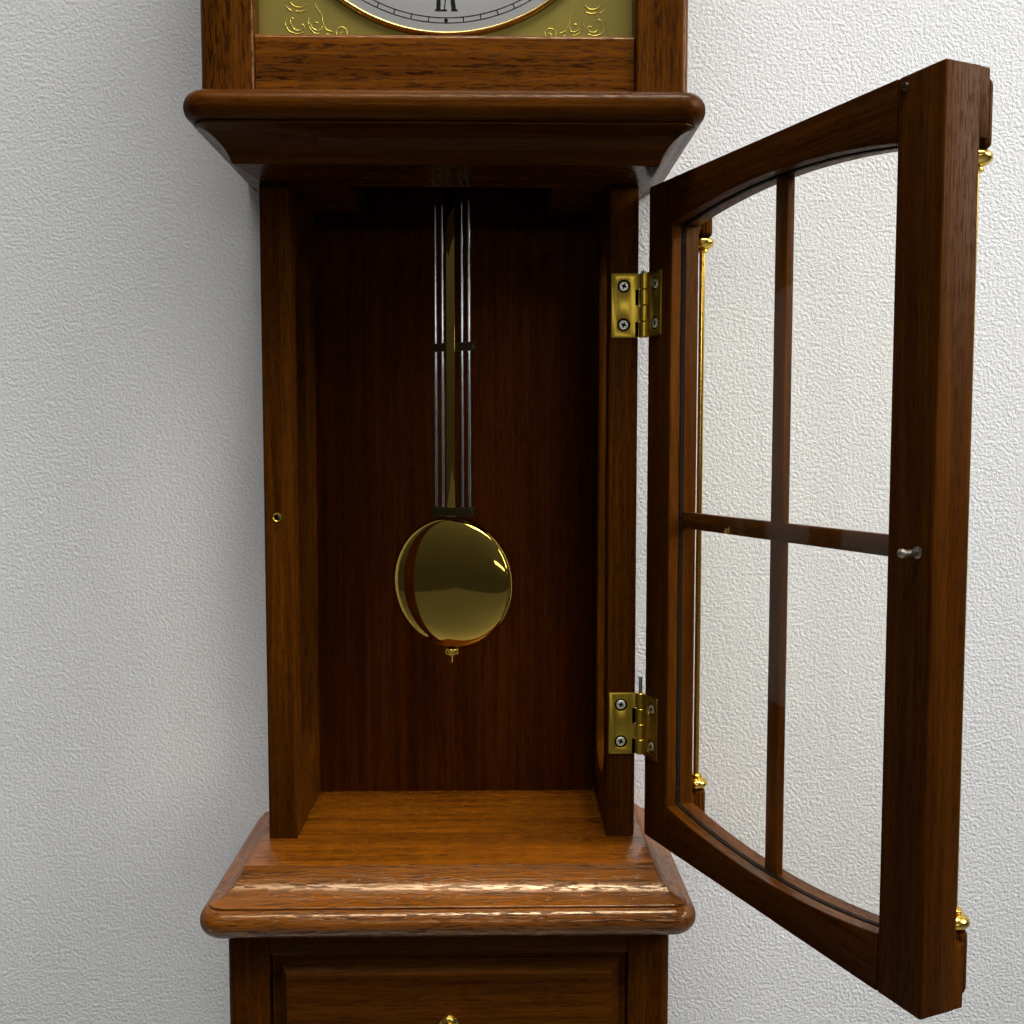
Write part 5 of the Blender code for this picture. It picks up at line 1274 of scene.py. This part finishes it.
ROD_PLACES, ROD_RADIUS = (-0.0122, -0.0071, 0.0071, 0.0122), 0.001
STRIP_HALF, STRIP_THIN, STRIP_ABOVE = 0.0031, 0.0006, 0.0042
THREAD_PITCH, THREAD_CREST, THREAD_ROOT = 0.0008, 0.00098, 0.00080
PENDULUM_BAR, PENDULUM_BAR_CORNER = 0.0155, 0.0012
BOB_FLAT, BOB_BULGE, BOB_FACE, BOB_BEHIND = 0.0018, 0.0085, 0.985, 0.35
BOB_RIM = ((0.990, -0.0020), (0.998, -0.0014), (1.0, -0.0004), (1.0, 0.0008), (0.996, 0.0016))
WAY_HALF, WAY_DEEP, WAY_LONG = 0.0034, 0.0013, 0.1
NUT = (0.0013, 0.0042, 0.0045, 0.0004)
RIDGE_HALF, RIDGE_DEEP, RIDGE_SHORT, RIDGE_RING = 0.00022, 0.0002, 0.0005, 0.00448


class CLOCK_OT_pendulum(bpy.types.Operator):
    """Hang the pendulum: its rods, strip, bars, bob and rating nut"""
    bl_idname = "clock.pendulum"
    bl_label = "Pendulum"

    def execute(self, context):
        low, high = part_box("pendulum_rod_1")
        profile = cylinder(ROD_RADIUS, low.z, high.z, 0.0002)
        for i, x in enumerate(ROD_PLACES, 1):
            rod = turned(f"steel_rod_{i}", profile, (x, PIVOT.y, 0), 20, "steel", turn=PENDULUM_TURN)
            carry(rod, "pendulum", "steel", f"pendulum_rod_{i}")
        self.strip()
        self.bar("pendulum_foot", BOB.y - 0.0012)
        self.bar("pendulum_crossbar", BOB.y + 0.0009)
        coat("bronze", "pendulum_head")
        self.bob()
        self.nut(context.scene.clock_sizes.knurls)
        return {"FINISHED"}

    def strip(self):
        """The flat blade that the bob slides on, ending in a thread."""
        low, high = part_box("pendulum_strip")
        foot = BOB.z - BOB_RADIUS + STRIP_ABOVE
        blade = box("strip_blade", (-STRIP_HALF, BOB.y - STRIP_THIN, foot),
                    (STRIP_HALF, BOB.y + STRIP_THIN, high.z), "bob_brass", PENDULUM_TURN)
        ease(blade, 0.0002, 2)
        thread = [(0, foot + 0.002)]
        for i in range(int((foot - low.z) / THREAD_PITCH)):
            z = foot - THREAD_PITCH * i
            thread += [(THREAD_CREST, z), (THREAD_ROOT, z - THREAD_PITCH / 2)]
        thread += [(0.0006, low.z), (0, low.z)]
        screw = turned("strip_thread", thread, (0, BOB.y, 0), 20, "bob_brass", turn=PENDULUM_TURN)
        carry(merge("brass_strip", [blade, screw]), "pendulum", "brass", "pendulum_strip")

    def bar(self, node, front):
        low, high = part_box(node)
        outline = rounded_rectangle(-PENDULUM_BAR, PENDULUM_BAR, low.z, high.z, PENDULUM_BAR_CORNER, 5)
        piece = prism(node + "_bar", outline, "XZ", front, PIVOT.y + 0.003, "bronze", PENDULUM_TURN)
        carry(ease(piece, 0.0004, 2), "pendulum", "dark_bronze", node)

    def bob(self):
        """A lens with a bulging front, a flatter back and a way for the strip."""
        front = arc((0, -BOB_FLAT), BOB_FACE * BOB_RADIUS, -90, 0, 32, BOB_BULGE)
        rim = [(BOB_RADIUS * share, y) for share, y in BOB_RIM]
        back = [(radius, BOB_FLAT + (-y - BOB_FLAT) * BOB_BEHIND) for radius, y in reversed(front)]
        bob = turned("brass_bob", front + rim + back, (0, BOB.y, BOB.z), 128, "bob_brass", FORWARD)
        reach = Vector((WAY_HALF, WAY_DEEP, WAY_LONG))
        carve(bob, box("way", BOB - reach, BOB + reach, "shade"))
        bob.data.transform(PENDULUM_TURN)
        carry(bob, "bob", "brass", "pendulum_bob")

    def nut(self, knurls):
        foot, top = (corner.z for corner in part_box("rating_nut"))
        nut = turned("nut_body", sleeve(*NUT, foot, top), (0, BOB.y, 0), 60, "brass", ring=True,
                     turn=PENDULUM_TURN)
        ridge = box("ridge", (-RIDGE_HALF, -RIDGE_DEEP, foot + RIDGE_SHORT),
                    (RIDGE_HALF, RIDGE_DEEP, top - RIDGE_SHORT), "brass")
        place = PENDULUM_TURN @ Matrix.Translation((0, BOB.y, 0))
        ridges = ring_of("nut_ridges", ridge, knurls, RIDGE_RING, "brass", place)
        carry(merge("knurled_nut", [nut, ridges]), "nut", "brass", "rating_nut")


class CLOCK_OT_movement(bpy.types.Operator):
    """Finish the plates, wheels and arbors of the movement"""
    bl_idname = "clock.movement"
    bl_label = "Movement"

    def execute(self, context):
        coat("brass", "movement_front_plate", "movement_back_plate", "going_barrel", "intermediate_wheel",
             "third_wheel", "escape_wheel", "minute_wheel")
        coat("steel", "anchor")
        return {"FINISHED"}


# Stage

FLOOR_Z = CAD_BOX[0][2] - 1.0
WALL_Y = CAD_BOX[1][1] + 0.002
ROOM, WALL_TOP = 6, 4
LAMP_COLOUR, SKY_COLOUR = (1.0, 0.985, 0.96), (0.97, 0.98, 1.0)
LAMPS = (
    ("ceiling", (0.30, -0.72, 1.40), (0.05, -0.10, -0.35), 2.4, 0.5, 60, 10.8),
    ("window", (1.55, -0.62, 0.45), (0.1, -0.05, -0.4), 0.9, 0.9, 60, 4.0),
    ("room", (0.20, -2.80, 0.05), (0.0, -0.1, -0.45), 1.6, 0.13, 180, 5.5),
    ("behind", (0.0, 2.40, 0.60), (0.0, 0.0, -0.35), 1.5, 1.5, 100, 20.0),
)


def plane(name, corners, recipe):
    mesh = bpy.data.meshes.new(name)
    mesh.from_pydata(corners, [], [(0, 1, 2, 3)])
    mesh.materials.append(recipe.material)
    show(name, mesh)


class CLOCK_OT_stage(bpy.types.Operator):
    """Set the pale wall and floor, the soft lamps and the camera"""
    bl_idname = "clock.stage"
    bl_label = "Stage"

    def execute(self, context):
        scene = context.scene
        scene.view_settings.view_transform = "Standard"
        self.planes(scene.clock_colours.wall)
        self.lamps(scene)
        camera = show("camera", bpy.data.cameras.new("camera"))
        camera.location = (0.0274, -0.7529, -0.3381)
        camera.rotation_euler = (pi / 2 - 0.0671, 0, -0.0172)
        camera.data.sensor_width = 36.0
        camera.data.lens = 36.40
        camera.data.clip_start = 0.01
        scene.camera = camera
        return {"FINISHED"}

    def planes(self, base):
        """A pale floor that throws little light back, and a wall that shows from its front only."""
        plaster = Recipe("pale_plaster")
        grit = plaster.noise(plaster.coords((430, 430, 430)), 4.0)
        plaster.set(Base_Color=base, Roughness=0.9)
        plaster.relief(grit, 0.6, 0.0019)
        back = plaster.add("ShaderNodeNewGeometry").outputs["Backfacing"]
        lamp = plaster.add("ShaderNodeLightPath").outputs["Is Shadow Ray"]
        plaster.clear_by(plaster.math("MAXIMUM", back, lamp))
        ground = Recipe("pale_floor")
        path = ground.add("ShaderNodeLightPath").outputs
        through = ground.sum(path["Is Glossy Ray"], path["Is Transmission Ray"])
        seen = ground.sum(path["Is Camera Ray"], through)
        ground.set(Base_Color=ground.mix(seen, tint((0.10, 0.10, 0.10), base), base), Roughness=0.85)
        plane("floor", [(-ROOM, -ROOM, FLOOR_Z), (ROOM, -ROOM, FLOOR_Z), (ROOM, ROOM, FLOOR_Z),
                        (-ROOM, ROOM, FLOOR_Z)], ground)
        plane("wall", [(-ROOM, WALL_Y, FLOOR_Z), (ROOM, WALL_Y, FLOOR_Z), (ROOM, WALL_Y, WALL_TOP),
                       (-ROOM, WALL_Y, WALL_TOP)], plaster)

    def lamps(self, scene):
        """A room brighter overhead, a ceiling lamp, a window at the right, a low strip and a fill behind."""
        scene.world = bpy.data.worlds.new("soft_room")
        scene.world.use_nodes = True
        sky = Tree(scene.world.node_tree)
        way = sky.add("ShaderNodeTexCoord").outputs["Generated"]
        height = sky.add("ShaderNodeSeparateXYZ", Vector=way).outputs["Z"]
        strength = sky.span(height, -0.05, 1.0, 0.05, 0.20)
        sky.feed(sky.tree.nodes["Background"], Strength=strength, Color=SKY_COLOUR)
        for name, place, target, wide, tall, spread, watts in LAMPS:
            lamp = bpy.data.lights.new(name, "AREA")
            lamp.shape = "RECTANGLE"
            lamp.size = wide
            lamp.size_y = tall
            lamp.energy = watts
            lamp.spread = radians(spread)
            lamp.color = LAMP_COLOUR
            holder = show(name, lamp)
            holder.location = place
            holder.rotation_euler = (Vector(target) - Vector(place)).to_track_quat("-Z", "Y").to_euler()


OPERATORS = (CLOCK_OT_boards, CLOCK_OT_waist, CLOCK_OT_hood, CLOCK_OT_base, CLOCK_OT_door, CLOCK_OT_hinges,
             CLOCK_OT_dial, CLOCK_OT_hands, CLOCK_OT_pendulum, CLOCK_OT_movement, CLOCK_OT_stage)


class CLOCK_PT_panel(bpy.types.Panel):
    """Lists the clock's pieces and the sizes and colours of their finish"""
    bl_idname = "CLOCK_PT_panel"
    bl_label = "Wall clock"
    bl_space_type = "VIEW_3D"
    bl_region_type = "UI"
    bl_category = "Clock"

    def draw(self, context):
        for group in (context.scene.clock_sizes, context.scene.clock_colours):
            for key in group.__annotations__:
                self.layout.prop(group, key)
        for operator in OPERATORS:
            self.layout.operator(operator.bl_idname)


CLASSES = (ClockSizes, ClockColours, *OPERATORS, CLOCK_PT_panel)


def register():
    for item in CLASSES:
        bpy.utils.register_class(item)
    bpy.types.Scene.clock_sizes = PointerProperty(type=ClockSizes)
    bpy.types.Scene.clock_colours = PointerProperty(type=ClockColours)


def unregister():
    del bpy.types.Scene.clock_colours
    del bpy.types.Scene.clock_sizes
    for item in reversed(CLASSES):
        bpy.utils.unregister_class(item)


def main():
    register()
    mix_finishes()
    bpy.ops.clock.stage()
    bpy.ops.clock.boards()
    bpy.ops.clock.waist()
    bpy.ops.clock.hood()
    bpy.ops.clock.base()
    bpy.ops.clock.door()
    bpy.ops.clock.hinges()
    bpy.ops.clock.dial()
    bpy.ops.clock.hands()
    bpy.ops.clock.pendulum()
    bpy.ops.clock.movement()


if __name__ == "__main__":
    main()
